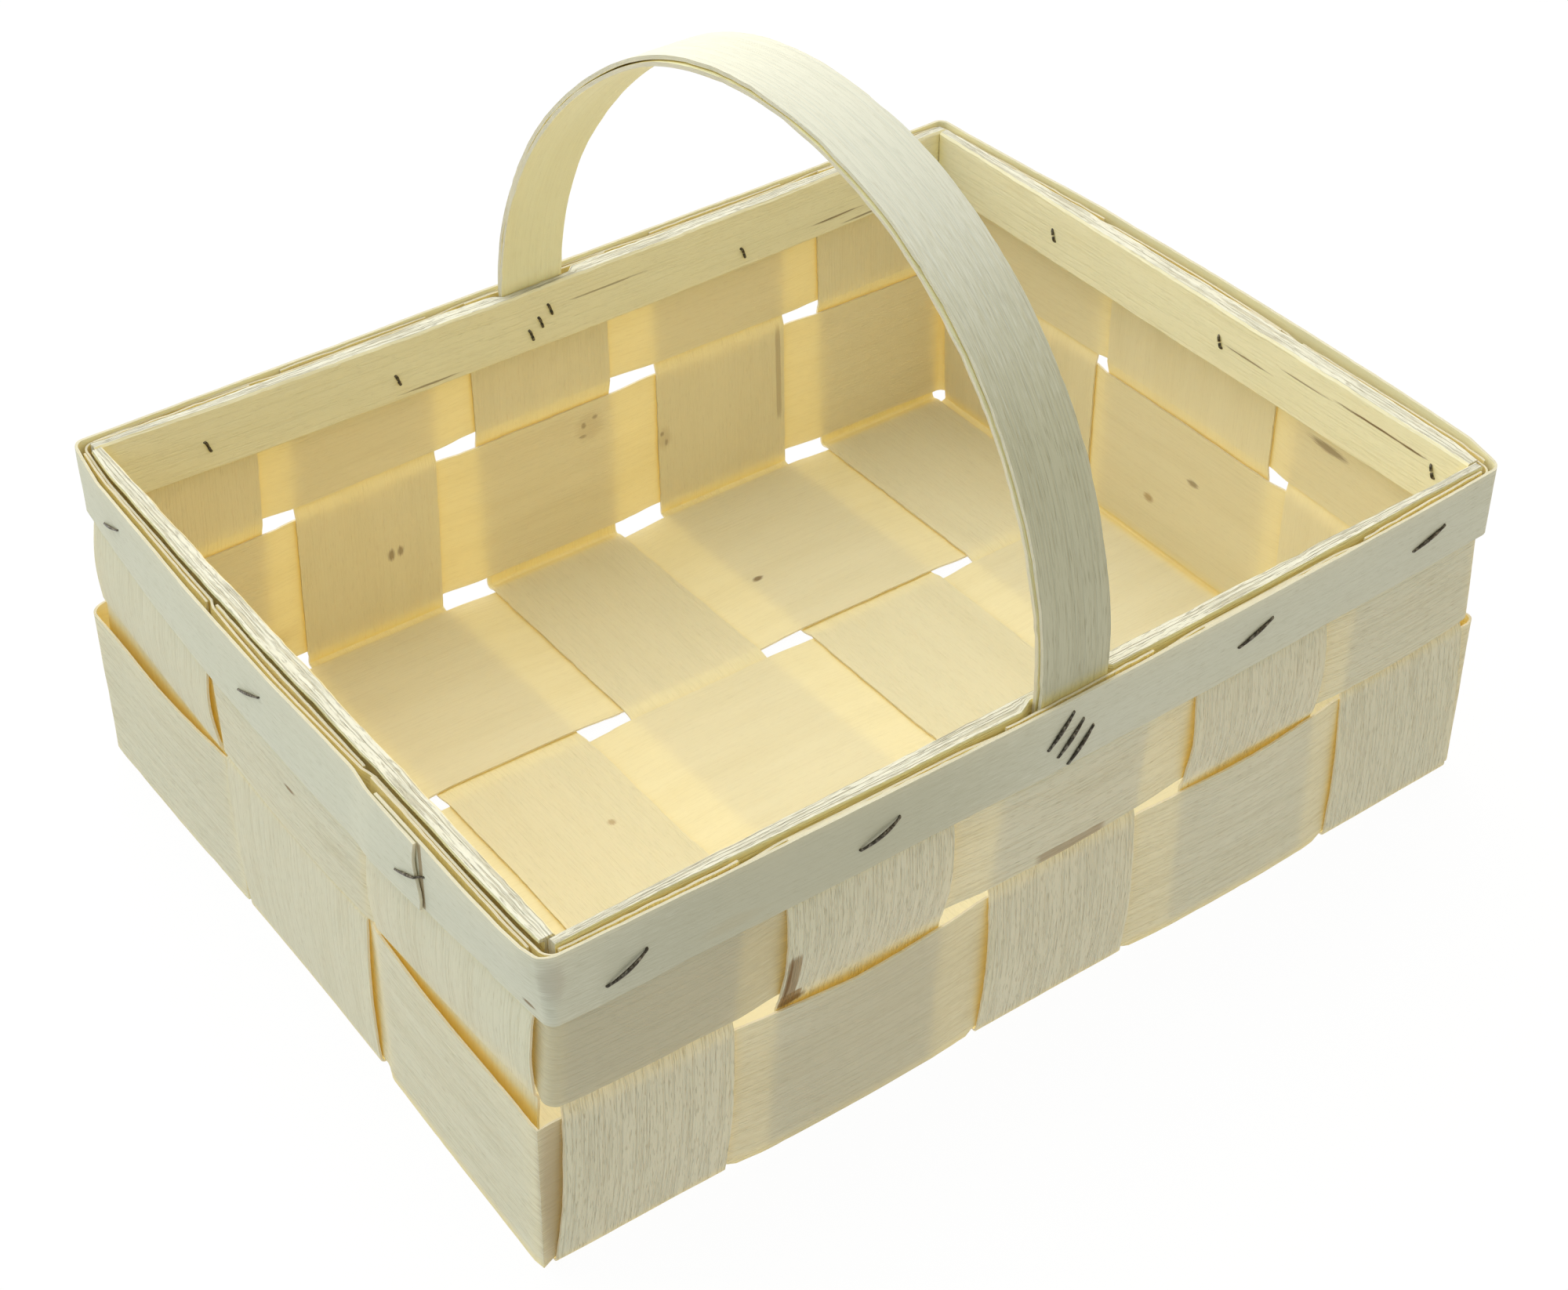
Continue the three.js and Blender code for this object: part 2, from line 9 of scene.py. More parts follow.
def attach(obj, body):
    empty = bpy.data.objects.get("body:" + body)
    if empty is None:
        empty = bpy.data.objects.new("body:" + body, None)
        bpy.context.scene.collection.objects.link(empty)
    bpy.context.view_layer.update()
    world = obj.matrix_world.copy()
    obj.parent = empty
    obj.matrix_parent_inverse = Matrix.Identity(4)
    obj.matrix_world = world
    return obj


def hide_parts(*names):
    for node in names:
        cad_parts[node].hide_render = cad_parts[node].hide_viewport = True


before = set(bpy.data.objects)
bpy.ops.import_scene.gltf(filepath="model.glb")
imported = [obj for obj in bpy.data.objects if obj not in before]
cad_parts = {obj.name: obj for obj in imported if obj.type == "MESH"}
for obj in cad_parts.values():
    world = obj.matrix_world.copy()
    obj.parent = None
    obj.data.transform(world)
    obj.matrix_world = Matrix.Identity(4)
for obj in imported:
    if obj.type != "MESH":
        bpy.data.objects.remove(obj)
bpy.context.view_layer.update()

# The layout repeats the sizes of the CAD model, in millimetres, +X along the long side
RIM_LENGTH, RIM_WIDTH, RIM_HEIGHT = 400.0, 312.0, 142.0
HOOP_T, HOOP_H, HOOP_R = 1.2, 28.0, 3.5
HOOP_LAP, HOOP_RAMP = 26.0, 16.0
RIM_T, RIM_H = 4.0, 27.0
VENEER, FIT = 1.0, 0.3
CROSS_GAP, LONG_GAP, BAND_GAP = 17.0, 11.5, 7.0
CORNER_R, FOLD_R, EASE = 4.0, 1.5, 0.4
BASE_SPREAD, SIDE_BOW, BAND_FLARE = 5.3, 7.5, 4.2
PLY_T, PLY_W = 1.6, 28.0
LEAN, RISE, SPRING, TAIL = 9.5, 158.5, 2.0, 26.0
PLACE_F, PLACE_B = -1.0, -9.7
SHIFT = np.array([0.026, 2.111, 0.0])

LAYER = (VENEER + FIT) / 2
WALL = VENEER + FIT / 2
HX = RIM_LENGTH / 2 - HOOP_T - FIT - WALL
HY = RIM_WIDTH / 2 - HOOP_T - FIT - WALL
FLOOR = WALL
WALL_TOP = RIM_HEIGHT - 0.8
BAND_FOOT = FLOOR + FOLD_R + EASE
BAND_H = (WALL_TOP - BAND_FOOT - BAND_GAP) / 2
LOW_TOP, UP_FOOT = BAND_FOOT + BAND_H, WALL_TOP - BAND_H
RIM_FOOT = RIM_HEIGHT - HOOP_H - 1
SEAT = WALL + FIT
RIM_FACE = SEAT + RIM_T
STACK = 2 * PLY_T + FIT
SLOT = STACK + FIT + 0.35
# How far the veneer ends stay under the top of the rim, on the long and on the short walls
LONG_SETBACK, SHORT_SETBACK = 0.9, 1.7
FOOT_BOW = 1.8


def clamp01(t):
    return np.clip(t, 0.0, 1.0)


def smooth(t):
    t = clamp01(t)
    return t * t * (3 - 2 * t)


def hump(share):
    return np.maximum(0.0, 1 - share**2)


def per_row(values, grid):
    """One value to a row of the grid, the same all across it."""
    return np.broadcast_to(values[:, None], grid.shape)


# Noise
def noise1(seed, s, wave):
    s = np.asarray(s, float) / wave
    lo = math.floor(s.min()) - 1
    vals = np.random.default_rng(seed).uniform(-1, 1, int(s.max() - lo) + 4)
    k = np.floor(s).astype(int)
    t = smooth(s - k)
    return vals[k - lo] * (1 - t) + vals[k - lo + 1] * t


def noise2(seed, s, w, wave_s, wave_w):
    s, w = np.asarray(s, float) / wave_s, np.asarray(w, float) / wave_w
    ls, lw = math.floor(s.min()) - 1, math.floor(w.min()) - 1
    vals = np.random.default_rng(seed).uniform(-1, 1, (int(s.max() - ls) + 4, int(w.max() - lw) + 4))
    i, j = np.floor(s).astype(int), np.floor(w).astype(int)
    a, b = smooth(s - i), smooth(w - j)
    i, j = i - ls, j - lw
    return (vals[i, j] * (1 - a) + vals[i + 1, j] * a) * (1 - b) + (
        vals[i, j + 1] * (1 - a) + vals[i + 1, j + 1] * a) * b


# How the basket has settled
# Bow of the hoop's top edge on the left and the right wall, from the front corner to the back one
BOW_Y = np.array([-156.0, -153, -147, -137, -115, -90, -60, -30, 0, 30, 60, 90, 110, 129, 143, 151, 154])
BOW_X = np.array([0.4, 2.6, 4.2, 4.9, 5.4, 5.3, 5.2, 5.6, 6.4, 6.3, 6.0, 5.0, 4.4, 3.9, 2.0, 0.8, 0.3])
RIGHT_BOW_Y = np.array([-156.0, -150, -137, -115, -90, -60, 0, 60, 110, 140, 154])
RIGHT_BOW_X = np.array([0.3, 2.0, 5.0, 6.3, 6.9, 7.3, 7.4, 6.0, 2.6, 0.6, 0.0])
# The share of that bow which the woven layers and the inner rim's torn top take
LEFT_STAND, RIGHT_STAND = 0.62, 0.6
# How far the foot of the left wall bows in, and that of the right wall stands out
LEFT_FOOT_IN, RIGHT_FOOT_OUT = 2.6, 1.2


def side_bow(x, y, z, kind):
    plain = SIDE_BOW * hump(y / HY)
    up = clamp01(z / RIM_FOOT)
    over = smooth((z - RIM_FOOT) / (RIM_HEIGHT - RIM_FOOT))
    top = np.where(x < 0, np.interp(y, BOW_Y, BOW_X), np.interp(y, RIGHT_BOW_Y, RIGHT_BOW_X))
    if kind != "hoop":
        # the woven layers stand between the bowed hoop and the straight inner rim
        top = top * np.where(x < 0, LEFT_STAND, RIGHT_STAND)
    return plain * up * (1 - over) + top * over


# How far each corner is out of square: (side along X, side along Y, floor or rim) to its move
CORNERS = {
    (-1, -1, 0): (-4.8, 0.3), (-1, -1, 1): (-1.2, -2.1),
    (1, -1, 0): (3.2, -2.6), (1, -1, 1): (2.8, 1.5),
    (-1, 1, 0): (-2.2, 2.0), (-1, 1, 1): (0.5, 0.9),
    (1, 1, 0): (0.0, 0.0), (1, 1, 1): (-0.4, 0.3),
}


def twist(P):
    """The photographed basket is a little out of square, all layers alike."""
    a = clamp01(P[..., 0] / RIM_LENGTH + 0.5)
    b = clamp01(P[..., 1] / RIM_WIDTH + 0.5)
    c = clamp01(P[..., 2] / RIM_HEIGHT)
    out = P.copy()
    for (i, j, k), (dx, dy) in CORNERS.items():
        w = (a if i > 0 else 1 - a) * (b if j > 0 else 1 - b) * (c if k else 1 - c)
        out[..., 0] += w * dx
        out[..., 1] += w * dy
    return out


def settle(P, kind="strip"):
    x, y, z = P[..., 0].copy(), P[..., 1].copy(), P[..., 2]
    up = clamp01(z / RIM_FOOT)
    sx, sy = x / HX, y / HY
    out = P.copy()
    foot = BASE_SPREAD + np.where(x < 0, -LEFT_FOOT_IN * hump(sy), RIGHT_FOOT_OUT)
    out[..., 0] += sx * (foot * (1 - up) + side_bow(x, y, z, kind))
    out[..., 1] += np.minimum(sy, 0) * SLOT * hump(sx) * up**2
    out[..., 1] -= clamp01(-sy) ** 4 * FOOT_BOW * hump(sx) * (1 - up)
    if kind == "lower_band":
        rise = (z - BAND_FOOT) / BAND_H
        out[..., 0] += np.sign(x) * BAND_FLARE * np.abs(sx) ** 8 * np.abs(sy) ** 6 * rise
    return twist(out)


def settle_rim(P):
    out = P.copy()
    out[..., 1] -= np.maximum(P[..., 1] / HY, 0) * SLOT * hump(P[..., 0] / (HX - RIM_FACE))
    return twist(out)


# Paths and the weave
def upturned(half, top):
    wall = top - FLOOR - FOLD_R
    fold = FOLD_R * math.pi / 2
    length = 2 * (wall + fold + half - FOLD_R)

    def at(s):
        far = s > length / 2
        q = np.where(far, length - s, s)
        m = np.where(far, -1.0, 1.0)
        turn = clamp01((q - wall) / fold) * math.pi / 2
        na, nb = -np.cos(turn), -np.sin(turn)
        a = -half + FOLD_R * (1 + na) + np.maximum(0, q - wall - fold)
        b = FLOOR + FOLD_R * (1 + nb) + np.maximum(0, wall - q)
        return a * m, b, na * m, nb

    return at, length, (lambda z, far: length - (top - z) if far else top - z), (lambda a: length / 2 + a)


def loop(half_x, half_y, radius):
    run = [2 * (half_x - radius), 2 * (half_y - radius)]
    arc = radius * math.pi / 2
    length = 2 * sum(run) + 4 * arc

    def at(s):
        s = np.mod(np.asarray(s, float), length)
        starts = np.cumsum([0, run[0] + arc, run[1] + arc, run[0] + arc])
        wall = np.searchsorted(starts, s, side="right") - 1
        r = np.array(run)[wall % 2]
        q = s - starts[wall]
        quarter = wall * math.pi / 2
        turn = quarter + np.maximum(0, q - r) / radius
        straight = np.minimum(q, r) - r / 2
        reach = np.where(wall % 2 == 0, half_y, half_x) - radius
        na, nb = np.sin(turn), -np.cos(turn)
        a = straight * np.cos(quarter) + reach * np.sin(quarter) + radius * na
        b = straight * np.sin(quarter) - reach * np.cos(quarter) + radius * nb
        return a, b, na, nb

    place = {
        "front": lambda x: x + run[0] / 2,
        "right": lambda y: run[0] + arc + run[1] / 2 + y,
        "back": lambda x: run[0] + run[1] + 2 * arc + run[0] / 2 - x,
        "left": lambda y: 2 * run[0] + run[1] + 3 * arc + run[1] / 2 - y,
    }
    starts = [run[0], run[0] + arc + run[1], 2 * run[0] + run[1] + 2 * arc, 2 * (run[0] + run[1]) + 3 * arc]
    return at, length, place, [(a, a + arc) for a in starts]


def spread(count, half, gap):
    edge = half - CORNER_R - EASE
    width = (2 * edge - (count - 1) * gap) / count
    return [(-edge + k * (width + gap), -edge + k * (width + gap) + width) for k in range(count)]


CROSS = spread(5, HX, CROSS_GAP)
LONG = spread(3, HY, LONG_GAP)


# The photographed strips wander a little: how far each edge is off the even spacing, in millimetres, at the
# top of the near wall (half way up for the long strips) and its foot, on the floor twice, and at the foot
# and top of the far wall
CROSS_AT = np.array([-HY - RIM_HEIGHT, -HY, -10, 10, HY, HY + RIM_HEIGHT])
LONG_AT = np.array([-HX - 65, -HX, -110, 110, HX, HX + RIM_HEIGHT])
CROSS_OFF = [((0, 0, 0, 0, 0, 0), (-1.5, -1.5, -1, -1, -2, -1)),
             ((-1.7, -1.7, -2.5, -2.5, -4, -5), (-0.5, -0.5, -5, -5, -7, -6)),
             ((3.0, 2.4, -1.5, -1.5, -2.5, -6.5), (2.0, 2.0, -1, -1, -4.5, -5.5)),
             ((6.5, 6.5, 2.5, 2.5, 0.5, -0.5), (5, 5, 3, 3, 0, 1)),
             ((3, 1.2, 3, 3, 3, 2), (0, 0, 0, 0, 0, 0))]
LONG_OFF = [((2.5, 1.0, 0, 0, 0, 0), (0, 0, 0, 0, 2, 2)),
            ((-5.0, -2.0, 0, 0, 1, 1), (0, -0.8, 3, 2.5, 3, 3)),
            ((-7.5, -5.5, 0, -3, -2, -2), (0, 0, 0, 0, 0, 0))]


def edges_of(strips, off, at):
    """The two edges of strip n where it passes the unrolled place u."""
    def edges(n, u):
        return tuple(strips[n - 1][k] + np.interp(u, at, off[n - 1][k]) for k in (0, 1))
    return edges


cross_edges = edges_of(CROSS, CROSS_OFF, CROSS_AT)
long_edges = edges_of(LONG, LONG_OFF, LONG_AT)


def reach(edges, n, us):
    ends = [edges(n, u) for u in us]
    return float(min(e[0] for e in ends)), float(max(e[1] for e in ends))


# The edges of the bands along the walls: (place, off the even height)
UPPER_FOOT = {"front": [(-190, -1.2), (-150, -1.6), (-130, -3.3), (-30, -4.6), (36, -3.5), (131, -3),
                        (190, -0.8)],
              "right": [(-140, 0.0), (0, 0.5), (140, 1.0)],
              "back": [(-190, 3.0), (-100, 3.5), (0, 5.0), (100, 3.0), (190, 1.0)],
              "left": [(-149, -0.8), (-143.5, 5.0), (-120, 4.0), (-60, 0.0), (43, 1.2), (148, 2.2)]}
LOWER_TOP = {"front": [(-190, -1.5), (-130, -2.6), (-85, -4.0), (-50, -4.0), (36, -2.5), (117, -0.3),
                       (190, 0.5)],
             "right": [(-140, 0.8), (0, 1.5), (140, 1.5)],
             "back": [(-190, 3.0), (-100, 4.0), (0, 5.0), (100, 4.0), (190, 2.0)],
             "left": [(-145, -0.5), (-60, 5.0), (43, 4.6), (100, 2.5), (148, 0.5)]}
# On these walls the lower band reaches almost to the ground, so a strip inside it stays in down to LOW_FOOT
LOW_WALLS, LOW_FOOT = ("front", "left"), 1.6


def off_level(table, wall, lo, hi):
    at, off = zip(*table[wall])
    return np.interp(np.linspace(lo, hi, 9), at, off)


def cross_side(n, k):
    return 1 if (n + k) % 2 == 0 else -1


def long_side(n, k):
    return -cross_side(n, k)


def offset_at(stretches, s):
    """Distance of a strip's middle from the middle of the wall: over, under and smoothly between."""
    s = np.asarray(s, float)
    out = np.full(s.shape, np.nan)
    for k, st in enumerate(stretches):
        f, t, side, swell = st["from"], st["to"], st["side"], st["swell"]
        along = clamp01((s - f) / (t - f))
        lobe = np.sin(np.pi * along ** st.get("lean", 1.0)) if side > 0 else 0.0
        mine = side * LAYER + swell * lobe
        inside = (s >= f) & (s <= t) | ((k == 0) & (s < f)) | ((k == len(stretches) - 1) & (s > t))
        out = np.where(inside, mine, out)
        if k + 1 < len(stretches):
            nxt = stretches[k + 1]
            q = (s - t) / (nxt["from"] - t)
            swing = LAYER * (side + (nxt["side"] - side) * smooth(q))
            out = np.where((s > t) & (s < nxt["from"]), swing, out)
    return out


def strip_stretches(top, height_at, floor_at, side_at, floor_strips, swells, levels):
    def wall(far, upper, lower, sw):
        up_foot, low_top, low_foot = levels[far]

        def span(t, f, side, swell):
            ends = sorted([height_at(t, far), height_at(f, far)])
            return {"from": ends[0], "to": ends[1], "side": side, "swell": swell}

        clamped = span(top, RIM_FOOT, upper, 0)
        free = span(RIM_FOOT, up_foot, upper, sw[0])
        low = span(low_top, low_foot, lower, sw[1])
        return [low, free, clamped] if far else [clamped, free, low]

    floor = [{"from": floor_at(a), "to": floor_at(b), "side": side_at(k + 2), "swell": 0}
             for k, (a, b) in enumerate(floor_strips)]
    last = len(floor_strips) + 3
    return (wall(False, side_at(0), side_at(1), swells[0]) + floor
            + wall(True, side_at(last), side_at(last - 1), swells[1]))


# Mesh of a ribbon
# The grain map has GRAIN units to a millimetre, U along the grain and V across it. Inner faces lie
# INNER_V millimetres further along V. Edges sharper than SHARP degrees aren't smoothed.
GRAIN, INNER_V, SHARP = 0.01, 400.0, 32


def link(obj):
    bpy.context.scene.collection.objects.link(obj)


def make_object(name, verts, faces, uvs, slots=None):
    me = bpy.data.meshes.new(name)
    me.from_pydata((verts * 0.001).tolist(), [], faces)
    layer = me.uv_layers.new(name="grain")
    loops = np.empty(len(me.loops), np.int32)
    me.loops.foreach_get("vertex_index", loops)
    layer.data.foreach_set("uv", (uvs[loops] * GRAIN).ravel())
    me.polygons.foreach_set("use_smooth", [True] * len(me.polygons))
    if slots:
        me.polygons.foreach_set("material_index", slots)
    me.update()
    obj = bpy.data.objects.new(name, me)
    link(obj)
    return obj


def ribbon(name, outer, inner, s, w, closed=False):
    """Two faces and the edges round them. The outer face lies to the right of the travel along s."""
    ni, nj = outer.shape[:2]
    verts = np.concatenate([outer.reshape(-1, 3), inner.reshape(-1, 3)])
    uv = np.stack(np.broadcast_arrays(s[:, None], w[None, :] if w.ndim == 1 else w), -1).reshape(-1, 2)
    uvs = np.concatenate([uv, uv + [0, INNER_V]])
    n = ni * nj

    def o(i, j):
        return (i % ni) * nj + j

    faces, rim = [], []
    runs = ni if closed else ni - 1
    for i in range(runs):
        for j in range(nj - 1):
            faces.append((o(i, j), o(i + 1, j), o(i + 1, j + 1), o(i, j + 1)))
            faces.append((n + o(i + 1, j), n + o(i, j), n + o(i, j + 1), n + o(i + 1, j + 1)))
        rim.append((o(i + 1, 0), o(i, 0), n + o(i, 0), n + o(i + 1, 0)))
        rim.append((o(i, nj - 1), o(i + 1, nj - 1), n + o(i + 1, nj - 1), n + o(i, nj - 1)))
    if not closed:
        for j in range(nj - 1):
            rim.append((o(0, j), o(0, j + 1), n + o(0, j + 1), n + o(0, j)))
            rim.append((n + o(ni - 1, j), n + o(ni - 1, j + 1), o(ni - 1, j + 1), o(ni - 1, j)))
    obj = make_object(name, verts, faces + rim, uvs, [0] * len(faces) + [1] * len(rim))
    obj.data.set_sharp_from_angle(angle=math.radians(SHARP))
    return obj


def dense(a, b, step, extra=()):
    """Even places from a to b, and the extra ones in place of the even ones that lie close to them."""
    n = max(2, int(math.ceil((b - a) / step)) + 1)
    s = np.linspace(a, b, n)
    extra = np.array([e for e in extra if a < e < b])
    if len(extra):
        keep = np.abs(s[:, None] - extra[None, :]).min(1) > 0.25
        keep[[0, -1]] = True
        s = np.unique(np.concatenate([s[keep], extra]).round(3))
    return s


def cross_levels(lo, hi, step):
    """Levels across a strip, closer together at its edges."""
    inner = np.linspace(lo + 1.2, hi - 1.2, max(2, int((hi - lo) / step)))
    return np.concatenate([[lo, lo + 0.4], inner, [hi - 0.4, hi]])


def ragged(seed, s, T, W, amount):
    """Moves the edge columns of a strip in and out along its length. T is the share across it."""
    def edge(k):
        return (noise1(seed + k, s, 37) * 0.6 + noise1(seed + k + 1, s, 7) * 0.35
                + np.maximum(0, noise1(seed + k + 2, s, 2.6) - 0.45) * 1.3) * amount
    left, right = edge(11), edge(23)
    return W + left[:, None] * (1 - clamp01(T * 9)) - right[:, None] * (1 - clamp01((1 - T) * 9))


# Materials
def node(nt, kind, inputs=None, **props):
    n = nt.nodes.new(kind)
    for k, v in props.items():
        setattr(n, k, v)
    for k, v in (inputs or {}).items():
        if isinstance(v, bpy.types.NodeSocket):
            nt.links.new(v, n.inputs[k])
        else:
            n.inputs[k].default_value = v
    return n


def math_node(nt, op, a, b):
    return node(nt, "ShaderNodeMath", {0: a, 1: b}, operation=op).outputs[0]


def mix_colour(nt, fac, a, b, blend="MIX"):
    n = nt.nodes.new("ShaderNodeMix")
    n.data_type, n.blend_type = "RGBA", blend
    for sock, v in ((n.inputs[0], fac), (n.inputs[6], a), (n.inputs[7], b)):
        if isinstance(v, bpy.types.NodeSocket):
            nt.links.new(v, sock)
        else:
            sock.default_value = v
    return n.outputs[2]


def rgba(r, g, b):
    return (r, g, b, 1.0)


def share_of(nt, a, share):
    return math_node(nt, "MULTIPLY", a, share)


def stretched_noise(nt, uv, along, across, seed, detail=3.0, rough=0.55):
    m = node(nt, "ShaderNodeMapping", {"Vector": uv, "Location": (seed * 3.17, seed * 1.31, seed),
                                       "Scale": (along, across, 1.0)})
    return node(nt, "ShaderNodeTexNoise", {"Vector": m.outputs[0], "Scale": 1.0, "Detail": detail,
                                           "Roughness": rough}).outputs["Fac"]


def map_range(nt, value, low, high, to_low, to_high, kind="LINEAR"):
    return node(nt, "ShaderNodeMapRange", {"Value": value, "From Min": low, "From Max": high,
                                           "To Min": to_low, "To Max": to_high},
                interpolation_type=kind).outputs[0]


def ramp(nt, fac, low, high):
    return map_range(nt, fac, low, high, 0.0, 1.0, "SMOOTHSTEP")


KNOT = (0.21, 0.125, 0.05)
# The colour of dark bark, also used for the painted shadow beside the end of the hoop's lap
BARK_AND_SEAM_SHADOW = (0.29, 0.185, 0.07)
STAIN = (0.58, 0.44, 0.22)
# What the wood's colour is multiplied by in its darker streaks, in its grooves and on its raised fibres
SHADE, DEEP, LIGHT = (0.82, 0.78, 0.66), (0.66, 0.62, 0.54), (1.12, 1.12, 1.16)
# The colour of light let through, and the painted amber glow put on wood next to an edge that covers it
THROUGH, PAINTED_CREVICE_GLOW = (1.0, 0.84, 0.43), (1.08, 0.93, 0.36)
PAINTED_GLOW_REACH, WOOD_ROUGHNESS, FIBRE_RELIEF = 0.006, 0.62, 0.0005


def times(nt, a, b):
    if isinstance(a, bpy.types.NodeSocket):
        return mix_colour(nt, 1.0, a, b, "MULTIPLY")
    return tuple(x * y for x, y in zip(a, b))


def wood(name, seed, outer=(0.73, 0.77, 0.635), inner=(1.0, 0.98, 0.735), glow=0.31, fleck=0.45, ridge=0.4,
         groove=0.2, figure=0.22, marks=(), painted_glow_share=0.65, quiet=0.72, edge=False, long_grain=False):
    """Peeled poplar: long grain along U, dark pore dashes, raised fibres, light let through, and painted
    glow inside and beside covering edges.

    A mark is (along, across, half its length, half its width, colour, strength), in millimetres.
    """
    mat = bpy.data.materials.new(name)
    mat.use_nodes = True
    nt = mat.node_tree
    nt.nodes.clear()
    uv = node(nt, "ShaderNodeUVMap", uv_map="grain").outputs[0]
    if edge:
        # V crosses the thickness here, and runs much faster
        uv = node(nt, "ShaderNodeMapping", {"Vector": uv, "Scale": (1.0, 1 / 60, 1.0)}).outputs[0]
    broad = stretched_noise(nt, uv, 0.9, 7.0, seed, 2.0)
    streak = stretched_noise(nt, uv, 1.2 if long_grain else 2.2, 42.0, seed + 7, 4.0, 0.62)
    groove_n = stretched_noise(nt, uv, 1.6 if long_grain else 2.6, 110.0, seed + 13, 1.0, 0.5)
    fibre = stretched_noise(nt, uv, 14.0, 230.0, seed + 17, 2.0, 0.6)
    pores = stretched_noise(nt, uv, 12.0 if long_grain else 21.0, 250.0, seed + 29, 1.0, 0.4)
    cloud = stretched_noise(nt, uv, 2.2, 3.1, seed + 41, 2.0)
    bold = 1.0
    base = rgba(*outer)
    if not edge:
        # painted light: the inner faces are painted brighter and yellower than the outer ones, standing in
        # for the warm light inside the basket; their grain is also quieter
        across = node(nt, "ShaderNodeSeparateXYZ", {0: uv}).outputs[1]
        inside = math_node(nt, "GREATER_THAN", across, INNER_V * GRAIN / 2)
        base = mix_colour(nt, inside, rgba(*outer), rgba(*inner))
        bold = map_range(nt, inside, 0.0, 1.0, 1.0, 1 - quiet)
    dark = times(nt, base, rgba(*SHADE))
    deep = times(nt, dark, rgba(*DEEP))
    light = times(nt, base, rgba(*LIGHT))
    col = mix_colour(nt, share_of(nt, ramp(nt, broad, 0.35, 0.75), figure), base, dark)
    streaks = share_of(nt, ramp(nt, streak, 0.48, 0.75), bold)
    col = mix_colour(nt, share_of(nt, streaks, figure), col, dark)
    col = mix_colour(nt, share_of(nt, ramp(nt, cloud, 0.5, 0.8), 0.4 * figure), col, dark)
    lines = share_of(nt, ramp(nt, groove_n, 0.48, 0.66), bold)
    col = mix_colour(nt, share_of(nt, lines, groove), col, deep)
    dash = share_of(nt, ramp(nt, pores, 0.60, 0.72), bold)
    col = mix_colour(nt, share_of(nt, dash, fleck), col, deep)
    hair = share_of(nt, ramp(nt, fibre, 0.45, 0.75), bold)
    col = mix_colour(nt, share_of(nt, hair, 0.4), col, light)
    # painted glow: wood close under a covering edge, found by ambient occlusion, is painted a brighter amber
    # in place of the light let through there
    ao = node(nt, "ShaderNodeAmbientOcclusion", {"Distance": PAINTED_GLOW_REACH}, samples=4).outputs["AO"]
    col = mix_colour(nt, map_range(nt, ao, 0.97, 0.30, 0.0, painted_glow_share), col, rgba(*PAINTED_CREVICE_GLOW))
    for u0, v0, ru, rv, colour, strength in marks:
        m = node(nt, "ShaderNodeMapping", {"Vector": uv, "Location": (-u0 / ru, -v0 / rv, 0),
                                           "Scale": (1 / GRAIN / ru, 1 / GRAIN / rv, 0.0)}).outputs[0]
        if colour == BARK_AND_SEAM_SHADOW:
            # fourth powers turn the round spot into a bar with straight sides
            m = node(nt, "ShaderNodeVectorMath", {0: m, 1: m}, operation="MULTIPLY").outputs[0]
            m = node(nt, "ShaderNodeVectorMath", {0: m, 1: m}, operation="MULTIPLY").outputs[0]
        d = node(nt, "ShaderNodeVectorMath", {0: m}, operation="LENGTH").outputs["Value"]
        d = math_node(nt, "ADD", d, share_of(nt, math_node(nt, "SUBTRACT", fibre, 0.5), 1.1))
        col = mix_colour(nt, map_range(nt, d, 1.15, 0.55, 0.0, strength), col, rgba(*colour))
    height = math_node(nt, "SUBTRACT", share_of(nt, fibre, 0.4), share_of(nt, lines, 0.8))
    height = math_node(nt, "SUBTRACT", height, share_of(nt, dash, 0.5))
    bump = node(nt, "ShaderNodeBump",
                {"Height": height, "Strength": ridge, "Distance": FIBRE_RELIEF}).outputs[0]
    surface = node(nt, "ShaderNodeBsdfPrincipled", {"Base Color": col, "Roughness": WOOD_ROUGHNESS,
                                                    "Normal": bump, "Specular IOR Level": 0.25})
    tcol = mix_colour(nt, 0.7, rgba(*THROUGH), col, "MULTIPLY")
    trans = node(nt, "ShaderNodeBsdfTranslucent", {"Color": tcol, "Normal": bump})
    mixed = node(nt, "ShaderNodeMixShader", {0: glow, 1: surface.outputs[0], 2: trans.outputs[0]})
    node(nt, "ShaderNodeOutputMaterial", {"Surface": mixed.outputs[0]})
    return mat


def wire_material():
    mat = bpy.data.materials.new("staple wire")
    mat.use_nodes = True
    nt = mat.node_tree
    nt.nodes.clear()
    obj = node(nt, "ShaderNodeTexCoord").outputs["Object"]
    n = node(nt, "ShaderNodeTexNoise", {"Vector": obj, "Scale": 900.0, "Detail": 3.0}).outputs["Fac"]
    col = mix_colour(nt, ramp(nt, n, 0.4, 0.75), rgba(0.055, 0.045, 0.032), rgba(0.25, 0.22, 0.17))
    r = map_range(nt, n, 0.0, 1.0, 0.28, 0.5)
    surface = node(nt, "ShaderNodeBsdfPrincipled", {"Base Color": col, "Roughness": r, "Metallic": 0.85})
    node(nt, "ShaderNodeOutputMaterial", {"Surface": surface.outputs[0]})
    return mat


EDGE = wood("torn edge", 5.0, outer=(0.90, 0.885, 0.74), glow=0.3, painted_glow_share=0.12, fleck=0.3, edge=True)


def finish_piece(obj, mat, slot, *nodes, edge=EDGE):
    obj.data.materials.append(mat)
    if edge:
        obj.data.materials.append(edge)
    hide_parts(*nodes)
    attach(obj, "root")
    return obj


# Woven strips
# The thickness of the drawn veneer, the steps along and across a strip, and how ragged its edges are
THICK, STRIP_STEP, STRIP_ACROSS, STRIP_RAGGED = 0.86, 3.2, 3.4, 0.4


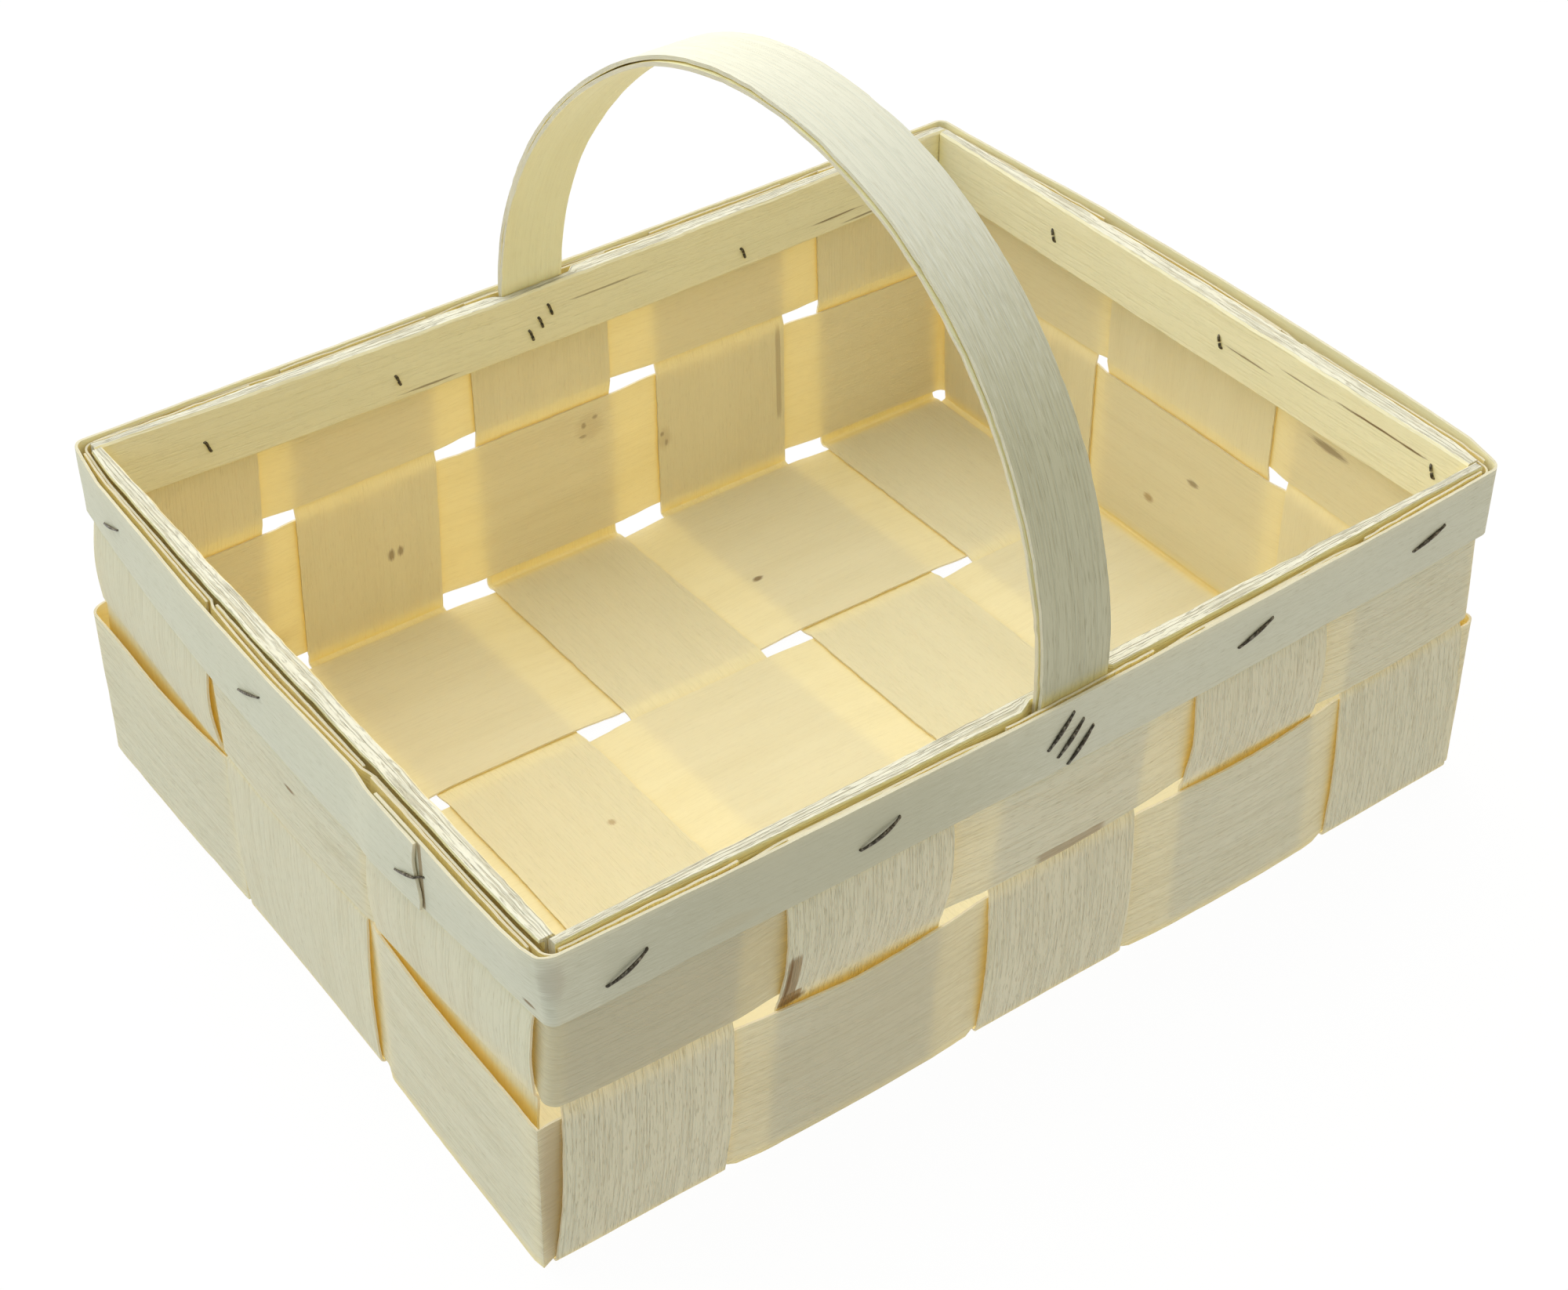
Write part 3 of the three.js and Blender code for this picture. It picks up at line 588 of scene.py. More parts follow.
def both_faces(name, s, W, P, N, thick, seed, place, wave=0.12, fade=1.0, closed=False):
    """The ribbon round a middle surface, a little uneven in thickness and not quite flat."""
    S = per_row(s, W)
    half = thick / 2 * (1 + 0.08 * fade * noise2(seed + 5, S, W, 9, 3))
    bump = wave * fade * noise2(seed + 6, S, W, 34, 15)
    out = place(P + N * (bump + half)[..., None]) + SHIFT
    inn = place(P + N * (bump - half)[..., None]) + SHIFT
    return ribbon(name, out, inn, s, W, closed)


def strip_piece(name, half, side_at, edges, floor_strips, levels, along_y, seed, swells, tops, setback):
    top = RIM_HEIGHT - setback
    at, length, height_at, floor_at = upturned(half, top)
    st = strip_stretches(top, height_at, floor_at, side_at, floor_strips, swells, levels)
    knots = [x["from"] for x in st] + [x["to"] for x in st]
    fold = [height_at(FLOOR + z, far) for z in (0, 0.5, 1, 1.5, 2.5, 4) for far in (False, True)]
    fold += [floor_at(m * (half - d)) for d in (0, 0.5, 1.0, 1.5, 3) for m in (-1, 1)]
    s = dense(0, length, STRIP_STEP, knots + fold)
    u = np.interp(s, [0, length / 2 - half, length / 2 + half, length],
                  [-half - top, -half, half, half + top])
    lo, hi = (e[:, None] for e in edges(u))
    if not along_y:
        lo, hi = -hi, -lo
    T = cross_levels(0, (hi - lo).mean(), STRIP_ACROSS) / (hi - lo).mean()
    W = ragged(seed, s, T, lo + T * (hi - lo), STRIP_RAGGED)
    # ends cut a little askew and torn
    S = per_row(s, W)
    S = S + (1 - smooth(S / 14)) * (tops[0] * (T - 0.5) + 0.25 * noise1(seed + 3, W, 3.2))
    S = S - smooth((S - length + 14) / 14) * (tops[1] * (T - 0.5) + 0.25 * noise1(seed + 4, W, 3.2))
    a, b, na, nb = at(S)
    d = offset_at(st, S)
    if along_y:
        P = np.stack([W, a + na * d, b + nb * d], -1)
        N = np.stack([np.zeros_like(na), na, nb], -1)
    else:
        P = np.stack([a + na * d, -W, b + nb * d], -1)
        N = np.stack([na, np.zeros_like(na), nb], -1)
    return both_faces(name, s, W, P, N, THICK, seed, settle)


def levels_at(edges, n, half, walls, inside):
    """For each end of a strip: the foot of the upper band, and the top and foot of the lower one."""
    out = {}
    for far, wall in zip((False, True), walls):
        m = 1 if far else -1
        lo, hi = reach(edges, n, [m * (half + z) for z in (0, 70, 140)])
        foot = LOW_FOOT if inside and wall in LOW_WALLS else BAND_FOOT
        out[far] = (UP_FOOT + off_level(UPPER_FOOT, wall, lo, hi).min(),
                    LOW_TOP + off_level(LOWER_TOP, wall, lo, hi).max(), foot)
    return out


CROSS_SWELL = {1: [(1.0, 2.0), (1.0, 1.6)], 2: [(2.6, 1.4), (1.6, 1.4)], 3: [(1.0, 2.4), (1.2, 1.8)],
               4: [(2.2, 1.4), (1.4, 1.4)], 5: [(1.0, 1.4), (1.2, 1.6)]}
# Places along a strip for its marks: s on the near wall, on the floor and on the far wall
CROSS_TOP, LONG_TOP = RIM_HEIGHT - LONG_SETBACK, RIM_HEIGHT - SHORT_SETBACK
CROSS_S, LONG_S = upturned(HY, CROSS_TOP)[1], upturned(HX, LONG_TOP)[1]
CROSS_FAR = CROSS_S - CROSS_TOP
CROSS_MARKS = {
    2: [(CROSS_TOP - 78, -110.9, 13, 2.8, BARK_AND_SEAM_SHADOW, 0.75), (CROSS_TOP - 69, -109.8, 3.2, 4.4, BARK_AND_SEAM_SHADOW, 0.85),
        (CROSS_TOP - 67.5, -108.5, 2.2, 5.5, KNOT, 0.9), (CROSS_TOP - 79, -112.2, 14, 0.8, KNOT, 1.0),
        (CROSS_FAR + 38.4, 322.6, 3.0, 1.7, KNOT, 0.65), (CROSS_FAR + 38.8, 326.6, 2.6, 1.5, KNOT, 0.6),
        (CROSS_S / 2 + 4.9, 327.9, 1.8, 1.6, STAIN, 0.7)],
    4: [(CROSS_FAR + 40.5, 451.5, 6.0, 3.5, STAIN, 0.3), (CROSS_FAR + 43, 450.6, 1.3, 0.9, KNOT, 0.5),
        (CROSS_FAR + 38, 452.6, 1.8, 0.8, KNOT, 0.45), (CROSS_FAR + 50, 509.8, 24, 1.3, BARK_AND_SEAM_SHADOW, 0.35)],
}
LONG_MARKS = {3: [(LONG_S / 2 + 55.0, 308.3, 2.6, 1.5, KNOT, 0.8)]}
for n in range(1, 6):
    levels = levels_at(cross_edges, n, HY, ("front", "back"), cross_side(n, 1) < 0)
    obj = strip_piece(f"veneer_cross_{n}", HY, partial(cross_side, n), partial(cross_edges, n),
                      [reach(long_edges, k, CROSS[n - 1]) for k in (1, 2, 3)], levels, True,
                      100 + n * 50, CROSS_SWELL[n], [(-1) ** n * 0.7, 0.5], LONG_SETBACK)
    rough = n in (1, 3, 5)
    mat = wood(f"veneer cross {n}", 3.0 + n, outer=(0.765, 0.80, 0.655), ridge=0.75,
               groove=0.12 if rough else 0.08, fleck=0.4, figure=0.12, marks=CROSS_MARKS.get(n, ()))
    finish_piece(obj, mat, "strip_veneer", f"cross_strip_{n}")

for n in range(1, 4):
    levels = levels_at(long_edges, n, HX, ("left", "right"), long_side(n, 1) < 0)
    obj = strip_piece(f"veneer_long_{n}", HX, partial(long_side, n), partial(long_edges, n),
                      [reach(cross_edges, k, LONG[n - 1]) for k in range(1, 6)], levels, False,
                      500 + n * 50, [(1.6, 1.4), (1.6, 1.4)], [1.0, -1.4], SHORT_SETBACK)
    mat = wood(f"veneer long {n}", 23.0 + n, ridge=0.3, fleck=0.35, groove=0.18, figure=0.18,
               marks=LONG_MARKS.get(n, ()))
    finish_piece(obj, mat, "strip_veneer", f"long_strip_{n}")


# Bands
loop_at, loop_length, loop_place, loop_arcs = loop(HX, HY, CORNER_R)


def round_walls(table, base):
    pts = sorted((float(loop_place[wall](a)) % loop_length, base + d)
                 for wall, row in table.items() for a, d in row)
    xs, ys = zip(*pts)
    return lambda s: np.interp(s, xs, ys, period=loop_length)


def band_piece(name, row, foot, top, seed, kind, swells, ends=None, facet=False):
    walls = [("front", cross_edges, 5, cross_side, row, -HY),
             ("right", long_edges, 3, long_side, 8 - row, HX),
             ("back", cross_edges, 5, cross_side, 6 - row, HY),
             ("left", long_edges, 3, long_side, row, -HX)]
    st = []
    for wall, edges, count, side_of, crossing, half in walls:
        rows = []
        for n in range(1, count + 1):
            span = (4, 66) if kind == "lower_band" else (72, 141)
            lo, hi = reach(edges, n, [half + math.copysign(z, half) for z in span])
            lo = (ends or {}).get((wall, n), lo)
            a, b = sorted([float(loop_place[wall](lo)), float(loop_place[wall](hi))])
            swell, lean = swells.get((wall, n), (0.8, 1.0))
            rows.append({"from": a, "to": b, "side": -side_of(n, crossing), "swell": swell, "lean": lean})
        st += sorted(rows, key=lambda r: r["from"])
    # the ends meet where the band runs behind a strip of the front wall
    k = next(i for i, r in enumerate(st) if r["side"] < 0)
    s0 = (st[k]["from"] + st[k]["to"]) / 2
    again = [dict(r, **{"from": r["from"] + loop_length, "to": r["to"] + loop_length}) for r in st[:k + 1]]
    round_st = st[k:] + again
    extra = [x["from"] for x in round_st] + [x["to"] for x in round_st]
    for i, (a, b) in enumerate(loop_arcs):
        turn = [a, (a + b) / 2, b] if facet and i == 3 else np.linspace(a, b, 11)
        extra += [float(t) + m * loop_length for t in turn for m in (0, 1)]
    s = dense(s0, s0 + loop_length, 3.0, extra)[:-1]
    if facet:
        a, b = loop_arcs[3]
        s = s[~((s > a + 0.1) & (s < b - 0.1) & (np.abs(s - (a + b) / 2) > 0.1))]
    low, high = foot(s)[:, None], top(s)[:, None]
    if kind == "lower_band":
        inside = [r for r in round_st if r["side"] < 0]
        xs = [x for r in inside for x in (r["from"] - 4, r["from"] - 0.8, r["to"] + 0.8, r["to"] + 4)]
        low = np.maximum(low, np.interp(s, xs, [0, 3.2, 3.2, 0] * len(inside))[:, None])
    T = cross_levels(0, 66, 3.6) / 66
    W = low + T * (high - low)
    fade = smooth(np.minimum(s - s0, s0 + loop_length - s) / 12)[:, None]
    W = W + (ragged(seed, s, T, W, 0.35) - W) * fade * (1 if kind == "lower_band" else 1 - 0.75 * T)
    a, b, na, nb = (per_row(q, W) for q in loop_at(s))
    d = per_row(offset_at(round_st, s), W)
    if kind == "lower_band":
        flat = np.sign(d) * LAYER
        d = np.where(d > LAYER, flat + (d - flat) * (0.25 + 0.75 * smooth(T)), d)
    P = np.stack([a + na * d, b + nb * d, W], -1)
    N = np.stack([na, nb, np.zeros_like(na)], -1)
    if facet:
        # folded to an edge at the near corner
        P += N * (CORNER_R * 0.4 * (np.abs(s - sum(loop_arcs[3]) / 2) < 0.1))[:, None, None]
    return both_faces(name, s, W, P, N, THICK, seed, lambda Q: settle(Q, kind), fade=fade, closed=True)


LOW_SWELL = {("left", 3): (2.6, 1.0), ("left", 1): (2.0, 1.0),
             ("right", 1): (2.2, 1.0), ("right", 3): (2.0, 1.0),
             ("front", 2): (1.6, 1.0), ("front", 4): (1.6, 1.0),
             ("back", 2): (1.4, 1.0), ("back", 4): (1.4, 1.0)}
low_foot = round_walls({"front": [(-190, 0.6), (178, 0.6)], "right": [(-140, 2.6), (140, 4.0)],
                        "back": [(185, 5.5), (100, 7.0), (-185, 7.3)],
                        "left": [(146, 3.0), (70, 2.6), (10, 1.0), (-40, 0.6), (-140, 0.6)]}, 0)
band_tops = round_walls({"front": [(-185, -1.4), (185, -1.4)], "right": [(-140, -1.9), (140, -1.9)],
                         "back": [(185, -1.4), (-185, -1.4)],
                         "left": [(140, -2.0), (-140, -2.0)]}, RIM_HEIGHT)


def on_band(wall, place):
    return float(loop_place[wall](place))


BAND_MARKS = [(on_band("back", 15.5), 461.5, 7.0, 7.0, STAIN, 0.25),
              (on_band("back", 18.5), 465.5, 1.4, 1.1, KNOT, 0.45),
              (on_band("back", 13.0), 463.2, 1.2, 1.6, KNOT, 0.45),
              (on_band("back", 12.4), 458.0, 1.9, 0.9, KNOT, 0.4),
              (on_band("front", -78), 35, 48, 60, (0.60, 0.585, 0.43), 0.55),
              (on_band("right", -6.0), 445.5, 3.4, 1.6, KNOT, 0.6),
              (on_band("right", 18.0), 424.5, 3.0, 2.2, STAIN, 0.8),
              # painted shade: the facet folded at the near corner, which faces the front, is painted a
              # darker brown-grey
              (float(loop_arcs[3][0]) + 7.5, 35, 5.5, 60, (0.46, 0.41, 0.28), 0.75),
              (on_band("back", -135), 420, 16, 5, STAIN, 0.25)]
UP_MARKS = [(on_band("right", -75), 502.8, 11.0, 1.9, KNOT, 0.6),
            (on_band("front", -160) + loop_length, 100, 70, 60, (0.54, 0.53, 0.39), 0.75),
            (on_band("front", 4), 73.2, 15, 2.1, BARK_AND_SEAM_SHADOW, 0.55),
            (on_band("left", -7.5), 100.5, 3.6, 0.9, KNOT, 0.8)]
obj = band_piece("veneer_band_lower", 1, low_foot, round_walls(LOWER_TOP, LOW_TOP), 900, "lower_band",
                 LOW_SWELL, {("left", 3): 47.3}, True)
mat = wood("veneer band lower", 41.0, fleck=0.4, marks=BAND_MARKS)
finish_piece(obj, mat, "band_veneer", "lower_band")
obj = band_piece("veneer_band_upper", 0, round_walls(UPPER_FOOT, UP_FOOT), band_tops, 950, "band", {})
mat = wood("veneer band upper", 47.0, fleck=0.45, marks=UP_MARKS)
finish_piece(obj, mat, "band_veneer", "upper_band")


# Rim
HOOP_MID = SEAT + HOOP_T / 2
STAPLE_CROWN, STAPLE_SLOPE = 17.5, math.radians(25)
SEAM_STAPLE = (LONG[0][0] + LONG[0][1]) / 2 + 21
HOOP_END_Y = SEAM_STAPLE - STAPLE_CROWN / 2 * math.cos(STAPLE_SLOPE) - 1.5
hoop_at, hoop_length, hoop_place, hoop_arcs = loop(HX + HOOP_MID, HY + HOOP_MID, HOOP_R)
HOOP_START = hoop_place["left"](HOOP_END_Y + HOOP_LAP)
HOOP_END = hoop_place["left"](HOOP_END_Y) + hoop_length
LAP_FULL = HOOP_START + hoop_length - FIT


def hoop_rise(s):
    return (HOOP_T + FIT) * smooth((s - LAP_FULL + HOOP_RAMP) / HOOP_RAMP)


def make_hoop():
    turns = [float(t) + m * hoop_length for a, b in hoop_arcs for t in np.linspace(a, b, 10) for m in (0, 1)]
    s = dense(HOOP_START, HOOP_END, 3.0, [LAP_FULL - HOOP_RAMP, LAP_FULL] + turns)
    lo, hi = RIM_HEIGHT - HOOP_H, RIM_HEIGHT
    w = cross_levels(lo, hi, 3.0)
    T = (w - lo) / (hi - lo)
    # the strip is a little wider round the near corner
    wide = 1.8 * hump(clamp01(np.abs(s - hoop_length) / 45)) * (s > HOOP_START + 60)
    W = ragged(1200, s, T, w - wide[:, None] * (1 - T), 0.22)
    S = per_row(s, W).copy()
    # the end of the lap is cut in a shallow S
    near_end = smooth((S - (HOOP_END - 12)) / 12)
    S += near_end * (1.1 * np.sin(T * math.pi * 2.1 + 0.4) + 0.8 * (0.5 - T))
    a, b, na, nb = hoop_at(S)
    N = np.stack([na, nb, np.zeros_like(na)], -1)
    P = np.stack([a, b, W], -1) + N * hoop_rise(S)[..., None]
    return both_faces("bent_hoop", s, W, P, N, HOOP_T - 0.12, 1200, lambda Q: settle(Q, "hoop"), 0.1)


near = float(hoop_length)
HOOP_MARKS = [(near - 1.5, 131, 3.5, 9, (0.50, 0.46, 0.36), 0.6), (near - 11.5, 115.8, 3.2, 0.7, KNOT, 0.9),
              (near + 60, 120, 12, 3, STAIN, 0.25), (near + 90, 122, 95, 50, (0.48, 0.465, 0.33), 0.55),
              # painted shadow: a dark bar on the under layer just past the lap's end, where the end's edge
              # casts shade
              (float(HOOP_END - hoop_length) + 0.9, 128, 1.1, 15, BARK_AND_SEAM_SHADOW, 0.75)]
obj = make_hoop()
mat = wood("hoop", 61.0, outer=(0.66, 0.66, 0.535), fleck=0.3, glow=0.15, ridge=0.25, figure=0.1,
           groove=0.06, painted_glow_share=0.12, marks=HOOP_MARKS)
finish_piece(obj, mat, "rim_wood", "rim_hoop")


def make_lath(name, half, sign, across_x, reach_s, seed, handle_place):
    """An inner rim strip: thicker, with eased and torn edges. It swells into the slot beside the handle."""
    s = dense(-reach_s, reach_s, 3.0)
    lo, hi = RIM_HEIGHT - RIM_H, RIM_HEIGHT
    w = np.concatenate([[lo, lo + 0.3, lo + 0.9], np.linspace(lo + 3, hi - 3, 7),
                        [hi - 1.75, hi - 1.2, hi - 0.9, hi - 0.35, hi]])
    torn = np.where((w - lo) / (hi - lo) > 0.9, 1.0, 0.0)
    W = w + torn * (0.2 * noise1(seed, s, 17) + 0.12 * noise1(seed + 1, s, 2.3))[:, None] - 0.1
    S = per_row(s, W)
    ease = np.minimum(w - lo, hi - w)
    inner_cut = np.where(ease < 0.9, 0.7 * (1 - ease / 0.9), 0.0)
    outer_cut = np.where(ease < 0.9, 0.2 * (1 - ease / 0.9), 0.0)
    wear = 0.2 * noise2(seed + 2, S, W, 12, 5) + 0.2 * torn * noise1(seed + 3, s, 4.3)[:, None]
    # its torn top leans out towards the ends of the veneers
    if sign < 0:
        bow = LEFT_STAND * np.interp(s, BOW_Y, BOW_X)
    else:
        bow = RIGHT_STAND * np.interp(-s, RIGHT_BOW_Y, RIGHT_BOW_X)
    fill = (0.86 * bow * (1 + 0.08 * noise1(seed + 4, s, 9.0)))[:, None] * smooth((w - hi + 1.75) / 0.5)
    if not across_x:
        x = sign * s
        free = smooth((np.abs(x - handle_place) - PLY_W / 2 - 1.4) / 3)
        slot = SLOT * hump(x / (HX if sign < 0 else HX - RIM_FACE))
        fill = (np.maximum(0, slot - 1.2) * free)[:, None]
    back = half - SEAT - outer_cut - 0.05 + fill
    face = half - RIM_FACE + inner_cut + wear + 0.15

    def pt(d):
        d = sign * np.broadcast_to(d, W.shape)
        return np.stack([d, -sign * S, W] if across_x else [sign * S, d, W], -1)

    return fix_outward(ribbon(name, settle_rim(pt(back)) + SHIFT, settle_rim(pt(face)) + SHIFT, s, W))


def fix_outward(obj):
    """Turns the mesh the right way out where its section was drawn the other way round."""
    me = obj.data
    co = np.empty(len(me.vertices) * 3)
    me.vertices.foreach_get("co", co)
    co = co.reshape(-1, 3)
    vol = 0.0
    for p in me.polygons:
        v = co[list(p.vertices)]
        for k in range(1, len(v) - 1):
            vol += np.dot(v[0], np.cross(v[k], v[k + 1]))
    if vol < 0:
        me.flip_normals()
    return obj


LATH_EDGE = wood("lath edge", 8.0, outer=(0.86, 0.85, 0.74), glow=0.15, painted_glow_share=0.1, groove=0.5, fleck=0.35,
                 ridge=1.0, edge=True)
END_X, END_Y = HX - CORNER_R + 1.6, HY - RIM_FACE - FIT
# Splits along the grain, and dark specks
LATH_MARKS = {
    "right": [(38, 527.5, 13, 0.45, KNOT, 0.8), (67, 532.6, 14, 0.4, KNOT, 0.7),
              (104, 533.6, 21, 0.55, KNOT, 0.95), (122, 533.4, 7, 0.5, KNOT, 0.9)],
    "back": [(177, 519.4, 11, 0.6, KNOT, 0.9), (152, 517.0, 13, 0.5, KNOT, 0.7),
             (136, 521.6, 14, 0.5, KNOT, 0.8), (20, 531.5, 20, 0.45, KNOT, 0.6),
             (-60, 517.6, 14, 0.5, KNOT, 0.7), (27.7, 513.9, 2.0, 1.0, KNOT, 0.9)],
}
for name, half, sign, across_x, reach_s, seed, place in (
        ("front", HY, -1, False, END_X, 1300, PLACE_F), ("back", HY, 1, False, END_X, 1310, PLACE_B),
        ("left", HX, -1, True, END_Y, 1320, 0), ("right", HX, 1, True, END_Y, 1330, 0)):
    obj = make_lath(f"lath_{name}", half, sign, across_x, reach_s, seed, place)
    # its inner faces take the painted brighter, yellower colour that stands in for the light inside
    mat = wood(f"lath {name}", 71.0 + seed / 10, inner=(0.97, 0.915, 0.665), fleck=0.4, glow=0.12,
               ridge=0.6, quiet=0.6, figure=0.15, marks=LATH_MARKS.get(name, ()))
    finish_piece(obj, mat, "rim_wood", f"inner_rim_{name}", edge=LATH_EDGE)


# Handle
HANDLE_REACH = HY - SEAT
HANDLE_F = -HANDLE_REACH - SLOT * hump((abs(PLACE_F) + PLY_W / 2) / HX)
HANDLE_B = HANDLE_REACH
MID, HALF = (HANDLE_F + HANDLE_B) / 2, (HANDLE_B - HANDLE_F) / 2
SPRINGING = RIM_HEIGHT - SPRING
HANDLE_FOOT = RIM_HEIGHT - TAIL


ARCH_STEPS, TAIL_STEPS = 140, 8


def arch(depth):
    """The middle line of a ply at this depth below the handle's outer face: Y, Z and the way inwards."""
    t = np.linspace(0, math.pi, ARCH_STEPS)
    y = MID - HALF * np.cos(t) - LEAN * np.sin(t)
    z = SPRINGING + RISE * np.sin(t)
    rise, run = RISE * np.cos(t), HALF * np.sin(t) - LEAN * np.cos(t)
    inw = np.stack([rise, -run], -1)
    inw /= np.linalg.norm(inw, axis=1)[:, None]
    # the bent plies run a little outside this curve in front of the top, and inside it behind
    sag = 0.2 * np.sin(t) ** 6 + np.where(t < math.pi / 2, 0.8, 2.9) * np.sin(2 * t) ** 2
    sag -= 1.4 * np.exp(-(((t - 1.95) / 0.27) ** 2))
    y, z = y + inw[:, 0] * sag, z + inw[:, 1] * sag
    tail = np.linspace(HANDLE_FOOT, SPRINGING, TAIL_STEPS + 1)[:-1]
    Y = np.concatenate([np.full(TAIL_STEPS, HANDLE_F), y, np.full(TAIL_STEPS, HANDLE_B)])
    Z = np.concatenate([tail, z, tail[::-1]])
    inward = np.concatenate([np.tile([1.0, 0], (TAIL_STEPS, 1)), inw, np.tile([-1.0, 0], (TAIL_STEPS, 1))])
    return Y + inward[:, 0] * depth, Z + inward[:, 1] * depth, inward


def make_ply(name, inset, seed, width, aside=0.0):
    Y, Z, inward = arch(inset + PLY_T / 2)
    s = np.concatenate([[0], np.cumsum(np.hypot(np.diff(Y), np.diff(Z)))])
    w = cross_levels(-width / 2, width / 2, 2.6)
    W = ragged(seed, s, (w - w[0]) / width, np.broadcast_to(w, (len(s), len(w))), 0.5)
    slant = (PLACE_B - PLACE_F) / (HANDLE_B - HANDLE_F)
    yy = per_row(Y, W)
    low = 1.3 * (1 - smooth(per_row(s, W) / 90))
    x = PLACE_F + low + aside + (yy - HANDLE_F) * slant + W
    P = np.stack([x, yy, per_row(Z, W)], -1)
    N = np.broadcast_to(np.stack([np.zeros(len(s)), -inward[:, 0], -inward[:, 1]], -1)[:, None, :], P.shape)
    return fix_outward(both_faces(name, s, W, P, N, PLY_T - 0.1, seed, twist, 0.08))


arc_length = float(np.hypot(np.diff(arch(0)[0]), np.diff(arch(0)[1])).sum())
# painted highlight: the outer ply's outer face is painted paler round the top of the arch, where the light
# from above falls
PLY_TOP_PAINTED_HIGHLIGHT = [(arc_length * 0.5, 0, 130, 60, (0.74, 0.74, 0.66), 0.85)]
obj = make_ply("ply_outer", 0.0, 1500, PLY_W)
mat = wood("ply outer", 91.0, outer=(0.53, 0.515, 0.375), glow=0.05, fleck=0.4, ridge=0.5,
           groove=0.14, figure=0.1, marks=PLY_TOP_PAINTED_HIGHLIGHT, long_grain=True)
finish_piece(obj, mat, "handle_wood", "handle_outer_ply")
obj = make_ply("ply_inner", PLY_T + 1.6 * FIT, 1520, PLY_W - 0.5, -0.9)
mat = wood("ply inner", 97.0, glow=0.1, fleck=0.4, ridge=0.5, long_grain=True)
finish_piece(obj, mat, "handle_wood", "handle_inner_ply")


# Staples
# Of each wall, the way right as seen from outside, the way out and the distance from the middle
WALLS = {"front": ((1, 0, 0), (0, -1, 0), HY), "right": ((0, 1, 0), (1, 0, 0), HX),
         "back": ((-1, 0, 0), (0, 1, 0), HY), "left": ((0, -1, 0), (-1, 0, 0), HX)}
wire = wire_material()


def tube(name, pts, radii, sides=10):
    """A round wire along a line of points."""
    pts = np.array(pts, float)
    tang = np.gradient(pts, axis=0)
    tang /= np.linalg.norm(tang, axis=1)[:, None]
    ref = np.cross(tang[0], [0.3, 0.5, 0.8])
    ref /= np.linalg.norm(ref)
    verts = []
    for p, t, r in zip(pts, tang, radii):
        ref = ref - t * np.dot(ref, t)
        ref /= np.linalg.norm(ref)
        side = np.cross(t, ref)
        for k in range(sides):
            a = 2 * math.pi * k / sides
            verts.append(p + r * (math.cos(a) * ref + math.sin(a) * side))
    n = len(pts)
    faces = [(i * sides + k, i * sides + (k + 1) % sides,
              (i + 1) * sides + (k + 1) % sides, (i + 1) * sides + k)
             for i in range(n - 1) for k in range(sides)]
    faces.append(tuple(range(sides))[::-1])
    faces.append(tuple((n - 1) * sides + k for k in range(sides)))
    verts = np.array(verts)
    uvs = np.zeros((len(verts), 2))
    return fix_outward(make_object(name, verts, faces, uvs))


def bezier(points, n):
    """A rounded line through the given corners."""
    pts = np.array(points, float)
    out = [pts[0]]
    for k in range(1, len(pts) - 1):
        a, b, c = pts[k - 1], pts[k], pts[k + 1]
        ra = min(1.0, np.linalg.norm(a - b) / 2) / np.linalg.norm(a - b)
        rc = min(1.0, np.linalg.norm(c - b) / 2) / np.linalg.norm(c - b)
        p0, p2 = b + (a - b) * ra, b + (c - b) * rc
        for t in np.linspace(0, 1, n):
            out.append((1 - t) ** 2 * p0 + 2 * t * (1 - t) * b + t * t * p2)
    out.append(pts[-1])
    return np.array(out)


def staple(name, wall, place, height, slope, crown=STAPLE_CROWN, bow=0.35, r=0.62):
    """Placed by its middle on the hoop. The two leg tips are turned over on the inside of the lath."""
    right, outward, half = (np.array(v, float) if not np.isscalar(v) else v for v in WALLS[wall])
    slope = math.radians(slope)
    middle = right * (right[0] + right[1]) * place + np.array([0, 0, height])
    across = right * math.cos(slope) + np.array([0, 0, math.sin(slope)])

    def on(way, u, reach_in, gap, rim=False):
        p = middle + way * u
        rise = 0.0
        if wall == "left" and not rim:
            s = hoop_place["left"](p[1])
            s = s + hoop_length if s + hoop_length <= HOOP_END else s
            rise = float(hoop_rise(np.array(s)))
        q = (p + outward * (half + reach_in + rise))[None]
        q = settle_rim(q)[0] if rim else settle(q, "hoop")[0]
        return q + outward * gap

    c = crown / 2 - 0.4
    top = [on(across, u, SEAT + HOOP_T, r * 0.5 + bow * hump(np.array(u / c)))
           for u in np.linspace(-c, c, 15)]
    steep = np.array([0, 0, 1.0]) * 0.95 + right * 0.3
    tips = [on(steep, m * 2.4, -RIM_FACE, -r * 0.5, True) for m in (-1, 1)]
    turned = [tips[k] + (tips[1 - k] - tips[k]) * 0.42 for k in (0, 1)]
    pts = bezier([turned[0], tips[0]] + top + [tips[1], turned[1]], 5)
    # the crown is thinner where it enters the wood
    k = np.arange(len(pts)) / (len(pts) - 1)
    radii = r * np.where(np.abs(k - 0.5) > 0.42, 0.95, 0.72 + 0.36 * hump(clamp01(np.abs(k - 0.5) / 0.3)))
    obj = tube(name, pts + SHIFT, radii)
    return finish_piece(obj, wire, "staple_wire", name.replace("wire_", "staple_"), edge=None)


